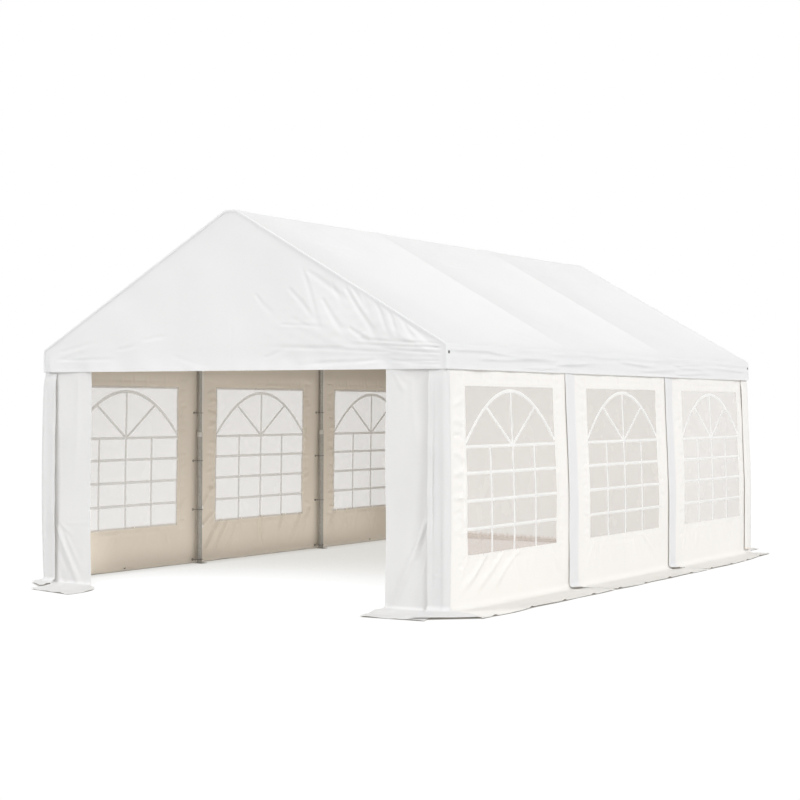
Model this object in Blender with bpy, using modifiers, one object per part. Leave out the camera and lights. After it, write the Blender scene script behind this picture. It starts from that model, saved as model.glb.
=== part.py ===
"""Marquee tent of 4 by 6 metres: a galvanised tube frame under a white PVC cover.

Units are metres, +Z is up. The origin is on the ground, at the middle of the floor.
X runs across the gable and Y along the ridge; the open front gable faces -Y.
Four frames stand 2 m apart, each of two posts and two rafters. The cloth lies on
them in three layers: the wall sheets against the posts, the storm flaps that cover
each joint between two sheets, and the hanging edge of the roof cover outside both.
"""

import math

import bmesh
import bpy
from mathutils import Matrix, Vector

# Driving dimensions of the frame
BAY = 2.0
BAYS = 3
LOWER_TUBE_R = 0.024
UPPER_TUBE_R = 0.019
LEG_JOINT_Z = 1.20
LEG_TAPER = 0.03
SLEEVE_R = 0.023
BRANCH_SLEEVE_R = 0.0225
SLEEVE_REACH = 0.10
SLEEVE_BACK = 0.01
BEAM_Z = 1.845
FOOT_SIZE = 0.08
FOOT_THICKNESS = 0.004
FOOT_INSET = 0.002
TUBE_SIDES = 12

# Driving dimensions of the cover
ROOF_WIDTH = 3.890
EAVE_Z = 1.922
RIDGE_Z = 2.987
VALANCE_Z = 1.741
ROOF_SAG = 0.012
SLOPE_STEPS = 6
BAY_STEPS = 6
WALL_TOP_Z = 1.885
DOOR_HALF = 1.425
WINDOW_WIDTH = 1.404
WINDOW_BOTTOM_Z = 0.389
WINDOW_TOP_Z = 1.621
STORM_FLAP_REACH = 0.091
STORM_FLAP_FOLD = 0.012
SHEET_OVERLAP = 0.060
FRONT_FLAP_WIDTH = 0.14
BACK_FLAP_WIDTH = 0.20
FLAP_LIFT = 0.006
FLAP_RUN_OUT = 0.02
SIDE_SKIRT = 0.30
END_SKIRT = 0.45

# Thickness of the cloth and film as modelled, and the gap between touching pieces
SHEET = 0.004
FILM = 0.002
GAP = 0.0003

# Worked out from the driving dimensions
LAYER = SHEET + GAP
HALF_WIDTH = ROOF_WIDTH / 2
POST_X = HALF_WIDTH - LOWER_TUBE_R - 3 * LAYER
END_Y = BAY * BAYS / 2
FRAME_YS = [BAY * index - END_Y for index in range(BAYS + 1)]
WALL_X = POST_X + LOWER_TUBE_R + GAP
WALL_Y = END_Y + LOWER_TUBE_R + GAP
GABLE_Y = WALL_Y - GAP + 3 * LAYER
SLOPE = math.atan((RIDGE_Z - EAVE_Z) / HALF_WIDTH)
AXIS_DROP = (SHEET + GAP + SLEEVE_R) / math.cos(SLOPE)
HEAD_Z = EAVE_Z + (HALF_WIDTH - POST_X) * math.tan(SLOPE) - AXIS_DROP
CROWN_Z = RIDGE_Z - AXIS_DROP
SIDES = {"left": -1, "right": 1}


def make_collection(name):
    collection = bpy.data.collections.new(name)
    bpy.context.scene.collection.children.link(collection)
    return collection


def make_material(name, colour, roughness, metallic=0.0, alpha=1.0):
    material = bpy.data.materials.new(name)
    material.use_nodes = True
    shader = material.node_tree.nodes["Principled BSDF"]
    shader.inputs["Base Color"].default_value = (*colour, 1.0)
    shader.inputs["Roughness"].default_value = roughness
    shader.inputs["Metallic"].default_value = metallic
    shader.inputs["Alpha"].default_value = alpha
    return material


def place(name, data, material, collection, location=(0, 0, 0)):
    if material:
        data.materials.append(material)
    obj = bpy.data.objects.new(name, data)
    obj.location = location
    collection.objects.link(obj)
    return obj


def mesh_from(shape, name):
    data = bpy.data.meshes.new(name)
    shape.to_mesh(data)
    shape.free()
    return data


def cutter(name, data, location=(0, 0, 0)):
    """A helper that a Boolean modifier uses and no render shows."""
    obj = place(name, data, None, cutters, location)
    obj.hide_render = True
    obj.display_type = "WIRE"
    return obj


def combine(target, other, operation):
    modifier = target.modifiers.new(f"{operation.lower()} {other.name}", "BOOLEAN")
    modifier.operation = operation
    modifier.object = other
    modifier.solver = "EXACT"


def smooth_tube(data):
    data.shade_smooth()
    data.set_sharp_from_angle(angle=math.radians(40))


def box_mesh(name, size):
    shape = bmesh.new()
    bmesh.ops.create_cube(shape, matrix=Matrix.Diagonal((*size, 1.0)))
    return mesh_from(shape, name)


def rod_mesh(name, direction, start, end, radius):
    """A closed cylinder along direction, from start to end of its own origin."""
    shape = bmesh.new()
    bmesh.ops.create_cone(
        shape,
        cap_ends=True,
        segments=TUBE_SIDES,
        radius1=radius,
        radius2=radius,
        depth=end - start,
        matrix=Matrix.Translation((0, 0, (start + end) / 2)),
    )
    turn = Vector((0, 0, 1)).rotation_difference(Vector(direction))
    bmesh.ops.rotate(shape, verts=shape.verts, matrix=turn.to_matrix())
    data = mesh_from(shape, name)
    smooth_tube(data)
    return data


def add_tube(name, start, end, radius):
    """A straight tube between two points, as a bevelled curve with caps."""
    start, end = Vector(start), Vector(end)
    curve = bpy.data.curves.new(name, "CURVE")
    curve.dimensions = "3D"
    curve.bevel_depth = radius
    curve.bevel_resolution = 4
    curve.use_fill_caps = True
    spline = curve.splines.new("POLY")
    spline.points.add(1)
    spline.points[0].co = (0, 0, 0, 1)
    spline.points[1].co = (*(end - start), 1)
    place(name, curve, galvanised, tent, start)


def add_post(name, side, frame_y):
    """A leg of two tubes on a foot plate, with the welded head that the roof tubes meet in."""
    outward = math.copysign(1, frame_y)
    at_end = abs(frame_y) == END_Y
    profile = [
        (0, HEAD_Z),
        (UPPER_TUBE_R, HEAD_Z),
        (UPPER_TUBE_R, LEG_JOINT_Z + LEG_TAPER),
        (LOWER_TUBE_R, LEG_JOINT_Z),
        (LOWER_TUBE_R, FOOT_THICKNESS / 2),
        (0, FOOT_THICKNESS / 2),
    ]
    data = bpy.data.meshes.new(name)
    edges = [(index, index + 1) for index in range(len(profile) - 1)]
    data.from_pydata([(r, 0, z) for r, z in profile], edges, [])
    post = place(name, data, galvanised, tent, (side * POST_X, frame_y, 0))
    turned = post.modifiers.new("turned", "SCREW")
    turned.steps = turned.render_steps = TUBE_SIDES
    turned.use_merge_vertices = True
    turned.merge_threshold = 0.0001
    turned.use_smooth_shade = False

    plate_shift = FOOT_SIZE / 2 - LOWER_TUBE_R + FOOT_INSET
    plate_x = side * (POST_X - plate_shift)
    plate_y = frame_y - outward * plate_shift * at_end
    plate_data = box_mesh(f"{name} foot", (FOOT_SIZE, FOOT_SIZE, FOOT_THICKNESS))
    plate = cutter(f"{name} foot", plate_data, (plate_x, plate_y, FOOT_THICKNESS / 2))
    combine(post, plate, "UNION")

    head = (side * POST_X, frame_y, HEAD_Z)
    rail_start = -SLEEVE_R if at_end else -SLEEVE_REACH
    rail = rod_mesh(f"{name} rail sleeve", (0, -outward, 0), rail_start, SLEEVE_REACH, SLEEVE_R)
    combine(post, cutter(rail.name, rail, head), "UNION")
    uphill = (-side * math.cos(SLOPE), 0, math.sin(SLOPE))
    rafter = rod_mesh(
        f"{name} rafter sleeve", uphill, -SLEEVE_BACK, SLEEVE_REACH, BRANCH_SLEEVE_R
    )
    combine(post, cutter(rafter.name, rafter, head), "UNION")
    if at_end:
        inward = (-side, 0, 0)
        beam = rod_mesh(f"{name} beam sleeve", inward, 0, SLEEVE_REACH, BRANCH_SLEEVE_R)
        combine(post, cutter(beam.name, beam, (side * POST_X, frame_y, BEAM_Z)), "UNION")


def add_ridge_fitting(name, frame_y):
    """The connector at the crown of a frame: a sleeve along the ridge and two down the slopes."""
    outward = math.copysign(1, frame_y)
    start = -SLEEVE_R if abs(frame_y) == END_Y else -SLEEVE_REACH
    crown = (0, frame_y, CROWN_Z)
    ridge = rod_mesh(name, (0, -outward, 0), start, SLEEVE_REACH, SLEEVE_R)
    fitting = place(name, ridge, galvanised, tent, crown)
    for side_name, side in SIDES.items():
        downhill = (side * math.cos(SLOPE), 0, -math.sin(SLOPE))
        label = f"{name} {side_name} sleeve"
        sleeve = rod_mesh(label, downhill, -SLEEVE_BACK, SLEEVE_REACH, BRANCH_SLEEVE_R)
        combine(fitting, cutter(label, sleeve, crown), "UNION")


def add_rafter(name, side, frame_y):
    head = Vector((side * POST_X, frame_y, HEAD_Z))
    crown = Vector((0, frame_y, CROWN_Z))
    inset = (crown - head).normalized() * (SLEEVE_REACH + GAP)
    add_tube(name, head + inset, crown - inset, UPPER_TUBE_R)


def add_frame():
    reach = SLEEVE_REACH + GAP
    for number, frame_y in enumerate(FRAME_YS, start=1):
        add_ridge_fitting(f"ridge_fitting_{number}", frame_y)
        for side_name, side in SIDES.items():
            add_post(f"{side_name}_post_{number}", side, frame_y)
            add_rafter(f"{side_name}_rafter_{number}", side, frame_y)
    for number, frame_y in enumerate(FRAME_YS[:-1], start=1):
        near, far = frame_y + reach, frame_y + BAY - reach
        add_tube(f"ridge_rail_{number}", (0, near, CROWN_Z), (0, far, CROWN_Z), UPPER_TUBE_R)
        for side_name, side in SIDES.items():
            rail_x = side * POST_X
            start, end = (rail_x, near, HEAD_Z), (rail_x, far, HEAD_Z)
            add_tube(f"{side_name}_eave_rail_{number}", start, end, UPPER_TUBE_R)
    for end_name, beam_y in (("front", -END_Y), ("back", END_Y)):
        half = POST_X - reach
        start, end = (-half, beam_y, BEAM_Z), (half, beam_y, BEAM_Z)
        add_tube(f"{end_name}_tie_beam", start, end, UPPER_TUBE_R)


def roof_height(up_slope, along_bay):
    """Height of the cloth; both arguments run from 0 to 1 over one slope of one bay."""
    straight = EAVE_Z + (RIDGE_Z - EAVE_Z) * up_slope
    return straight - ROOF_SAG * math.sin(math.pi * up_slope) * math.sin(math.pi * along_bay)


def add_roof_cover():
    """One sewn cover: two slopes that sag a little between the frames, two gables, and the
    edge that hangs below the eaves all round. The right half is built and mirrored."""
    stations = [(-GABLE_Y, 0.0)]
    for bay in range(BAYS):
        for step in range(BAY_STEPS):
            stations.append((FRAME_YS[bay] + BAY * step / BAY_STEPS, step / BAY_STEPS))
    stations += [(END_Y, 0.0), (GABLE_Y, 0.0)]

    shape = bmesh.new()
    ribs = []
    for y, along_bay in stations:
        rib = [shape.verts.new((HALF_WIDTH, y, VALANCE_Z))]
        for step in range(SLOPE_STEPS + 1):
            up_slope = step / SLOPE_STEPS
            height = roof_height(up_slope, along_bay)
            rib.append(shape.verts.new((HALF_WIDTH * (1 - up_slope), y, height)))
        ribs.append(rib)
    for near, far in zip(ribs, ribs[1:]):
        for row in range(len(near) - 1):
            shape.faces.new((near[row], far[row], far[row + 1], near[row + 1]))
    for rib in (ribs[0], ribs[-1]):
        foot = shape.verts.new((0, rib[0].co.y, VALANCE_Z))
        shape.faces.new([foot, *rib])
    bmesh.ops.recalc_face_normals(shape, faces=shape.faces)
    shape.faces.ensure_lookup_table()
    if shape.faces[0].normal.x < 0:
        bmesh.ops.reverse_faces(shape, faces=shape.faces)
    roof = place("roof_cover", mesh_from(shape, "roof_cover"), cover_cloth, tent)
    mirror = roof.modifiers.new("other half", "MIRROR")
    mirror.merge_threshold = 0.0001
    thicken(roof, -1)


def thicken(obj, offset):
    solidify = obj.modifiers.new("cloth", "SOLIDIFY")
    solidify.thickness = SHEET
    solidify.offset = offset
    solidify.use_even_offset = True


def add_hanging_sheet(name, path, outward, skirt):
    """A wall sheet. Its path gives the face that touches the posts, as points (x, y, z) of the
    lower edge. Wherever that edge lies on the ground, a skirt goes on outward over the ground."""
    shape = bmesh.new()
    feet = [shape.verts.new(point) for point in path]
    edges = [shape.edges.new(pair) for pair in zip(feet, feet[1:])]
    raised = bmesh.ops.extrude_edge_only(shape, edges=edges)["geom"]
    for item in raised:
        if isinstance(item, bmesh.types.BMVert):
            item.co.z = WALL_TOP_Z
    grounded = [edge for edge in edges if max(vert.co.z for vert in edge.verts) == 0]
    for item in bmesh.ops.extrude_edge_only(shape, edges=grounded)["geom"]:
        if isinstance(item, bmesh.types.BMVert):
            item.co += Vector(outward) * skirt
    bmesh.ops.recalc_face_normals(shape, faces=shape.faces)
    lying = next(face for face in shape.faces if all(vert.co.z == 0 for vert in face.verts))
    if lying.normal.z < 0:
        bmesh.ops.reverse_faces(shape, faces=shape.faces)
    sheet = place(name, mesh_from(shape, name), wall_cloth, tent)
    thicken(sheet, 1)
    return sheet


def side_path(side, bay):
    """The lower edge of a side sheet, from its back edge to the free edge of its front flap."""
    front_y = FRAME_YS[bay]
    last = bay == BAYS - 1
    back_y = WALL_Y - GAP if last else FRAME_YS[bay + 1] + SHEET_OVERLAP
    wall_x = side * WALL_X
    if bay == 0:
        flap_y = -WALL_Y - LAYER
        return [
            (wall_x, back_y, 0),
            (wall_x, front_y, 0),
            (wall_x, front_y - FLAP_RUN_OUT, FLAP_LIFT),
            (wall_x, flap_y, FLAP_LIFT),
            (wall_x - side * FRONT_FLAP_WIDTH, flap_y, FLAP_LIFT),
        ]
    flap_x = wall_x + side * LAYER
    seam_y = front_y + STORM_FLAP_REACH
    return [
        (wall_x, back_y, 0),
        (wall_x, seam_y, 0),
        (flap_x, seam_y - STORM_FLAP_FOLD, FLAP_LIFT),
        (flap_x, front_y - STORM_FLAP_REACH, FLAP_LIFT),
    ]


def add_side_sheet(side_name, side, bay):
    number = bay + 1
    name = f"{side_name}_wall_panel_{number}"
    sheet = add_hanging_sheet(name, side_path(side, bay), (side, 0, 0), SIDE_SKIRT)
    window_height = WINDOW_TOP_Z - WINDOW_BOTTOM_Z
    middle = (
        side * (WALL_X + SHEET / 2),
        FRAME_YS[bay] + BAY / 2,
        (WINDOW_TOP_Z + WINDOW_BOTTOM_Z) / 2,
    )
    opening = box_mesh(f"{name} opening", (10 * SHEET, WINDOW_WIDTH, window_height))
    combine(sheet, cutter(opening.name, opening, middle), "DIFFERENCE")
    film_size = (FILM, WINDOW_WIDTH - 2 * GAP, window_height - 2 * GAP)
    film_name = f"{side_name}_window_{number}"
    place(film_name, box_mesh(film_name, film_size), clear_film, tent, middle)


def add_end_sheets():
    for side_name, side in SIDES.items():
        edge, jamb = side * (WALL_X - GAP), side * DOOR_HALF
        path = [(edge, -WALL_Y, 0), (jamb, -WALL_Y, 0)]
        add_hanging_sheet(f"front_{side_name}_panel", path, (0, -1, 0), END_SKIRT)
    flap_x = WALL_X + LAYER
    ground_x = WALL_X - FLAP_RUN_OUT
    right_half = [
        (ground_x, WALL_Y, 0),
        (flap_x, WALL_Y, FLAP_LIFT),
        (flap_x, WALL_Y - BACK_FLAP_WIDTH, FLAP_LIFT),
    ]
    left_half = [(-x, y, z) for x, y, z in reversed(right_half)]
    add_hanging_sheet("back_wall", left_half + right_half, (0, 1, 0), END_SKIRT)


for leftover in list(bpy.data.objects):
    bpy.data.objects.remove(leftover, do_unlink=True)

tent = make_collection("marquee_tent")
cutters = make_collection("cutters")
galvanised = make_material("galvanised_steel", (0.48, 0.46, 0.43), 0.42, metallic=0.9)
cover_cloth = make_material("white_cover", (0.90, 0.89, 0.88), 0.45)
wall_cloth = make_material("white_wall_cloth", (0.90, 0.88, 0.84), 0.50)
clear_film = make_material("clear_film", (0.86, 0.85, 0.83), 0.12, alpha=0.35)

add_frame()
add_roof_cover()
for side_label, side_sign in SIDES.items():
    for bay_index in range(BAYS):
        add_side_sheet(side_label, side_sign, bay_index)
add_end_sheets()
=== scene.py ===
"""A marquee tent of four by six metres: a galvanised tube frame, dressed in white
PVC-coated cloth with windows of clear film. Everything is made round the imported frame."""

import math

import bmesh
import bpy
import numpy as np
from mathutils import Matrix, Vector


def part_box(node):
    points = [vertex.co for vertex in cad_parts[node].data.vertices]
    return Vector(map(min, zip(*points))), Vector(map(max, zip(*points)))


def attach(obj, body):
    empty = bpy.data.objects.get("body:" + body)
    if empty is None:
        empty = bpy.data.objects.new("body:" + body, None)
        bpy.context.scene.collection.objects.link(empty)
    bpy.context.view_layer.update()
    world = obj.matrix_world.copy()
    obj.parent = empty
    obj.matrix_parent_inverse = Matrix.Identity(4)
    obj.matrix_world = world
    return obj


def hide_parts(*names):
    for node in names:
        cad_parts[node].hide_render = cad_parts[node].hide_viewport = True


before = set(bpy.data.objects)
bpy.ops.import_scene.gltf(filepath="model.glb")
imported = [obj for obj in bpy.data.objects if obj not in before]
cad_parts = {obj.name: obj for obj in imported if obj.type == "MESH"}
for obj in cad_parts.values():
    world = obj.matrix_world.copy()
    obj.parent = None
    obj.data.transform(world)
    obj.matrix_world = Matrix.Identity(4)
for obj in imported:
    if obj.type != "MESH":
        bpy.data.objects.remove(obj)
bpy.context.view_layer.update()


# The viewpoint: a long lens held a little below eye height, well off the front right
# corner, so that the open gable and the right wall both show.
viewpoint = bpy.data.objects.new("viewpoint", bpy.data.cameras.new("viewpoint"))
viewpoint.data.lens = 76.97
viewpoint.data.sensor_width = 36.0
viewpoint.data.clip_end = 200.0
viewpoint.location = (8.094, -13.579, 1.480)
viewpoint.rotation_euler = (math.radians(90.17), math.radians(-0.21), math.radians(31.82))
bpy.context.scene.collection.objects.link(viewpoint)
bpy.context.scene.camera = viewpoint


# The studio: a matt white floor that glows a little, standing for the light it throws back,
# and that the camera sees as plain white with painted shadow on it: painted shade close to
# what stands on it and under the roof. Soft light from all round, and two wide lamps, one
# ahead on the left that brings out the folds of the gable, and one on the right for the long
# wall. A weak one inside stands for the light that a bright floor throws up under the roof.
FLOOR_HALF = 60.0
FLOOR_DROP = 0.0008
CONTACT_REACH = 0.40
SHADE_REACH = 6.0


def set_inputs(node, inputs):
    """Gives inputs of a node, named or numbered, their values."""
    for label, value in inputs.items():
        node.inputs[label].default_value = value
    return node


def new_material(name, inputs):
    """A material with its nodes, its links and its shader, whose inputs are set."""
    material = bpy.data.materials.new(name)
    material.use_nodes = True
    nodes = material.node_tree.nodes
    shader = set_inputs(nodes["Principled BSDF"], inputs)
    return material, nodes, material.node_tree.links, shader


def add_node(nodes, kind, inputs=None, **settings):
    """A shader node. Its settings come first, because they decide which inputs it has."""
    node = nodes.new(f"ShaderNode{kind}")
    for label, value in settings.items():
        setattr(node, label, value)
    return set_inputs(node, inputs or {})


def add_ramp(nodes, *stops):
    """A colour ramp through its stops, each a place along it and a colour."""
    ramp = add_node(nodes, "ValToRGB")
    elements = ramp.color_ramp.elements
    for element, (place, colour) in zip(elements, (stops[0], stops[-1])):
        element.position = place
        element.color = (*colour, 1)
    for place, colour in stops[1:-1]:
        elements.new(place).color = (*colour, 1)
    return ramp


def connect(links, *joins):
    """Makes each join: a node, its output, the node that it feeds, and that one's input."""
    for source, output, target, entry in joins:
        links.new(source.outputs[output], target.inputs[entry])


def show_to_camera(nodes, links, lighting, seen, output):
    """The camera sees one shader, and everything else is lit by the other."""
    ray = add_node(nodes, "LightPath")
    choose = add_node(nodes, "MixShader")
    links.new(ray.outputs["Is Camera Ray"], choose.inputs["Fac"])
    links.new(lighting, choose.inputs[1])
    links.new(seen, choose.inputs[2])
    links.new(choose.outputs["Shader"], nodes[output].inputs["Surface"])


floor_corners = [
    (x * FLOOR_HALF, y * FLOOR_HALF, -FLOOR_DROP) for x, y in ((-1, -1), (1, -1), (1, 1), (-1, 1))
]
floor_shape = bpy.data.meshes.new("studio_floor")
floor_shape.from_pydata(floor_corners, [], [(0, 1, 2, 3)])
studio_floor = bpy.data.objects.new("studio_floor", floor_shape)
bpy.context.scene.collection.objects.link(studio_floor)

floor_white, nodes, links, shader = new_material(
    "studio_white",
    {
        "Base Color": (0.46, 0.46, 0.455, 1),
        "Roughness": 1.0,
        "Specular IOR Level": 0.0,
        "Emission Color": (1, 1, 1, 1),
        "Emission Strength": 0.32,
    },
)
# Painted shadow: two occlusion ramps darken what the camera sees of the floor, a thin contact
# shadow at the foot of what stands on it and a wide shade under the roof.
near = add_node(nodes, "AmbientOcclusion", {"Distance": CONTACT_REACH}, samples=12)
roofed = add_node(nodes, "AmbientOcclusion", {"Distance": SHADE_REACH}, samples=24)
shade = add_ramp(
    nodes, (0.022, (0.68, 0.66, 0.62)), (0.045, (0.79, 0.782, 0.755)),
    (0.065, (0.87, 0.863, 0.845)), (0.10, (0.94, 0.938, 0.93)), (0.17, (1, 1, 1)),
)
both = add_node(nodes, "Mix", {"Factor": 1.0}, data_type="RGBA", blend_type="MULTIPLY")
contact = add_ramp(
    nodes, (0.02, (0.25, 0.24, 0.22)), (0.42, (0.78, 0.765, 0.735)), (0.78, (1.02, 1.02, 1.02)),
)
plain = add_node(nodes, "Emission")
connect(
    links,
    (near, "AO", contact, "Fac"),
    (roofed, "AO", shade, "Fac"),
    (contact, "Color", both, "A"),
    (shade, "Color", both, "B"),
    (both, "Result", plain, "Color"),
)
show_to_camera(nodes, links, shader.outputs["BSDF"], plain.outputs["Emission"], "Material Output")
floor_shape.materials.append(floor_white)

studio = bpy.data.worlds.new("studio")
bpy.context.scene.world = studio
studio.use_nodes = True
nodes, links = studio.node_tree.nodes, studio.node_tree.links
soft_light = set_inputs(nodes["Background"], {"Color": (1, 1, 1, 1)})
sky = add_node(nodes, "TexCoord")
height = add_node(nodes, "SeparateXYZ")
bright = add_node(nodes, "MapRange", {"To Min": 1.00, "To Max": 0.39})
connect(
    links,
    (sky, "Generated", height, "Vector"),
    (height, "Z", bright, "Value"),
    (bright, "Result", soft_light, "Strength"),
)
backdrop = add_node(nodes, "Background", {"Color": (1, 1, 1, 1), "Strength": 1.0})
show_to_camera(
    nodes, links, soft_light.outputs["Background"], backdrop.outputs["Background"], "World Output"
)

for lamp_name, strength, shines in (
    ("front_lamp", 1.13, (0.46, 0.61, -0.64)), ("side_lamp", 1.68, (-0.76, 0.22, -0.61)),
):
    lamp = bpy.data.objects.new(lamp_name, bpy.data.lights.new(lamp_name, "SUN"))
    lamp.data.energy = strength
    lamp.data.angle = math.radians(16)
    lamp.rotation_euler = Vector(shines).to_track_quat("-Z", "Y").to_euler()
    bpy.context.scene.collection.objects.link(lamp)
bounce = bpy.data.objects.new("floor_bounce", bpy.data.lights.new("floor_bounce", "AREA"))
bounce.data.energy = 31.0
bounce.data.shape = "RECTANGLE"
bounce.data.size, bounce.data.size_y = 3.4, 4.8
bounce.location = (-0.1, -0.45, 0.05)
bounce.rotation_euler = (math.pi, 0, 0)
bounce.visible_camera = False
bounce.visible_glossy = False
bpy.context.scene.collection.objects.link(bounce)
bpy.context.scene.view_settings.view_transform = "Standard"


# The tube frame: hot-dip galvanised steel. The zinc dries in small grey patches with faint
# streaks between them, and stays a little shiny.
galvanised, nodes, links, shader = new_material("galvanised_tube", {"Metallic": 0.30})
place = add_node(nodes, "TexCoord")
patches = add_node(nodes, "TexVoronoi", {"Scale": 90.0, "Randomness": 1.0})
streaks_map = add_node(nodes, "Mapping", {"Scale": (30, 30, 5)})
streaks = add_node(nodes, "TexNoise", {"Scale": 1.0, "Detail": 6.0})
zinc = add_node(nodes, "Mix", {"Factor": 0.5}, data_type="RGBA")
grey = add_ramp(nodes, (0.30, (0.36, 0.345, 0.32)), (0.75, (0.47, 0.455, 0.42)))
gloss = add_node(nodes, "MapRange", {"To Min": 0.34, "To Max": 0.58})
dents = add_node(nodes, "Bump", {"Strength": 0.18, "Distance": 0.001})
connect(
    links,
    (place, "Object", patches, "Vector"),
    (place, "Object", streaks_map, "Vector"),
    (streaks_map, "Vector", streaks, "Vector"),
    (patches, "Color", zinc, "A"),
    (streaks, "Color", zinc, "B"),
    (zinc, "Result", grey, "Fac"),
    (grey, "Color", shader, "Base Color"),
    (streaks, "Fac", gloss, "Value"),
    (gloss, "Result", shader, "Roughness"),
    (patches, "Distance", dents, "Height"),
    (dents, "Normal", shader, "Normal"),
)

FRAME_WORDS = ("post", "rafter", "rail", "fitting", "beam")
frame_nodes = {
    name: bpy.data.objects[name]
    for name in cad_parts
    if any(word in name for word in FRAME_WORDS)
}
for tube in frame_nodes.values():
    tube.data.materials.clear()
    tube.data.materials.append(galvanised)


# The roof cover, main sheet: both slopes and the edge that hangs down each side, in one
# length of white coated cloth. It is stretched over the rafters and sags between them.
ROOF_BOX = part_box("roof_cover")
EAVE_X = ROOF_BOX[1][0]
RIDGE_Z = ROOF_BOX[1][2]
VALANCE_Z = ROOF_BOX[0][2]
GABLE_Y = ROOF_BOX[1][1]
EAVE_Z = 1.922
FRAME_YS = (-3.0, -1.0, 1.0, 3.0)
PEAK_Z = 3.017
SLOPE = math.atan((PEAK_Z - EAVE_Z) / EAVE_X)
RIDGE_FLAT = (PEAK_Z - RIDGE_Z) / math.tan(SLOPE)
VALANCE_DROP = EAVE_Z - VALANCE_Z
CLOTH = 0.0016
ROOF_SAG = 0.085
HEM_WIDTH, HEM_RISE = 0.022, 0.0012


def coated_cloth(name, outer, roughness, through=0.25, weave=0.25, glow=None, painted_top_shade=None):
    """PVC-coated polyester: a fine weave under the coating, soft mottling, faint packing
    creases, and a little light that comes through from behind. The last argument is how much
    darker the colour is painted towards the top: a painted shade, darkest high up under the roof."""
    material, nodes, links, shader = new_material(name, {"Specular IOR Level": 0.28})
    flat = add_node(nodes, "TexCoord")
    tint = add_node(nodes, "TexNoise", {"Scale": 2.2, "Detail": 5.0})
    darker = [value * 0.965 for value in outer]
    shade = add_node(nodes, "Mix", {"A": (*darker, 1), "B": (*outer, 1)}, data_type="RGBA")
    connect(
        links,
        (flat, "Object", tint, "Vector"),
        (tint, "Fac", shade, "Factor"),
        (shade, "Result", shader, "Base Color"),
    )
    # Painted shade: the colour is scaled down towards the top of the cloth.
    if painted_top_shade:
        place = add_node(nodes, "SeparateXYZ")
        rise = add_node(
            nodes, "MapRange", {"From Min": 0.2, "From Max": 1.9, "To Min": 1.0, "To Max": painted_top_shade},
        )
        dull = add_node(nodes, "VectorMath", operation="SCALE")
        connect(
            links,
            (flat, "Object", place, "Vector"),
            (place, "Z", rise, "Value"),
            (shade, "Result", dull, 0),
            (rise, "Result", dull, "Scale"),
            (dull, "Vector", shader, "Base Color"),
        )

    gloss = add_node(nodes, "MapRange", {"To Min": roughness - 0.07, "To Max": roughness + 0.07})
    connect(links, (tint, "Fac", gloss, "Value"), (gloss, "Result", shader, "Roughness"))

    crumple = add_node(
        nodes, "TexNoise", {"Scale": 9.0, "Detail": 7.0, "Roughness": 0.55, "Distortion": 0.8},
    )
    links.new(flat.outputs["UV"], crumple.inputs["Vector"])
    soft = add_node(nodes, "Bump", {"Strength": 0.30, "Distance": 0.006})
    links.new(crumple.outputs["Fac"], soft.inputs["Height"])

    threads = []
    for direction in ("X", "Y"):
        thread = add_node(
            nodes, "TexWave", {"Scale": 350.0, "Distortion": 0.3},
            wave_type="BANDS", bands_direction=direction,
        )
        links.new(flat.outputs["UV"], thread.inputs["Vector"])
        threads.append(thread)
    cross = add_node(nodes, "Math", operation="MAXIMUM")
    links.new(threads[0].outputs["Fac"], cross.inputs[0])
    links.new(threads[1].outputs["Fac"], cross.inputs[1])
    fine = add_node(nodes, "Bump", {"Strength": weave, "Distance": 0.0001})
    connect(
        links,
        (cross, "Value", fine, "Height"),
        (soft, "Normal", fine, "Normal"),
        (fine, "Normal", shader, "Normal"),
    )

    behind = add_node(nodes, "BsdfTranslucent", {"Color": (*(glow or outer), 1)})
    blend = add_node(nodes, "MixShader", {"Fac": through})
    connect(
        links,
        (shader, "BSDF", blend, 1),
        (behind, "BSDF", blend, 2),
        (blend, "Shader", nodes["Material Output"], "Surface"),
    )
    return material


cover_outside = coated_cloth("white_cover_outside", (0.90, 0.903, 0.915), 0.62)
# The inner face is painted darker and warmer than the outer face: a painted shade for the shaded
# inside of the tent.
cover_inside = coated_cloth("cover_inside_painted_shade", (0.83, 0.785, 0.715), 0.62, glow=(0.90, 0.89, 0.87))


def even(start, end, step):
    """Places from start to end, as near to step apart as fits."""
    return np.linspace(start, end, max(2, round(abs(end - start) / step) + 1))


def joined(*runs):
    """One run of places out of several that meet end to end."""
    return np.concatenate([runs[0]] + [run[1:] for run in runs[1:]])


def smooth_step(value, start, end):
    part = np.clip((value - start) / (end - start), 0, 1)
    return part * part * (3 - 2 * part)


def slack(seed, count, shortest, longest):
    """The unevenness of hanging cloth: shallow waves in all directions, between two lengths."""
    draw = np.random.default_rng(seed)
    turns = draw.uniform(0, 2 * math.pi, count)
    numbers = 2 * math.pi / draw.uniform(shortest, longest, count)
    shifts = draw.uniform(0, 2 * math.pi, count)

    def height(across, down):
        total = np.zeros_like(across)
        for turn, number, shift in zip(turns, numbers, shifts):
            run = across * math.cos(turn) + down * math.sin(turn)
            total += np.sin(number * run + shift)
        return total / math.sqrt(count)

    return height


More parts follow.
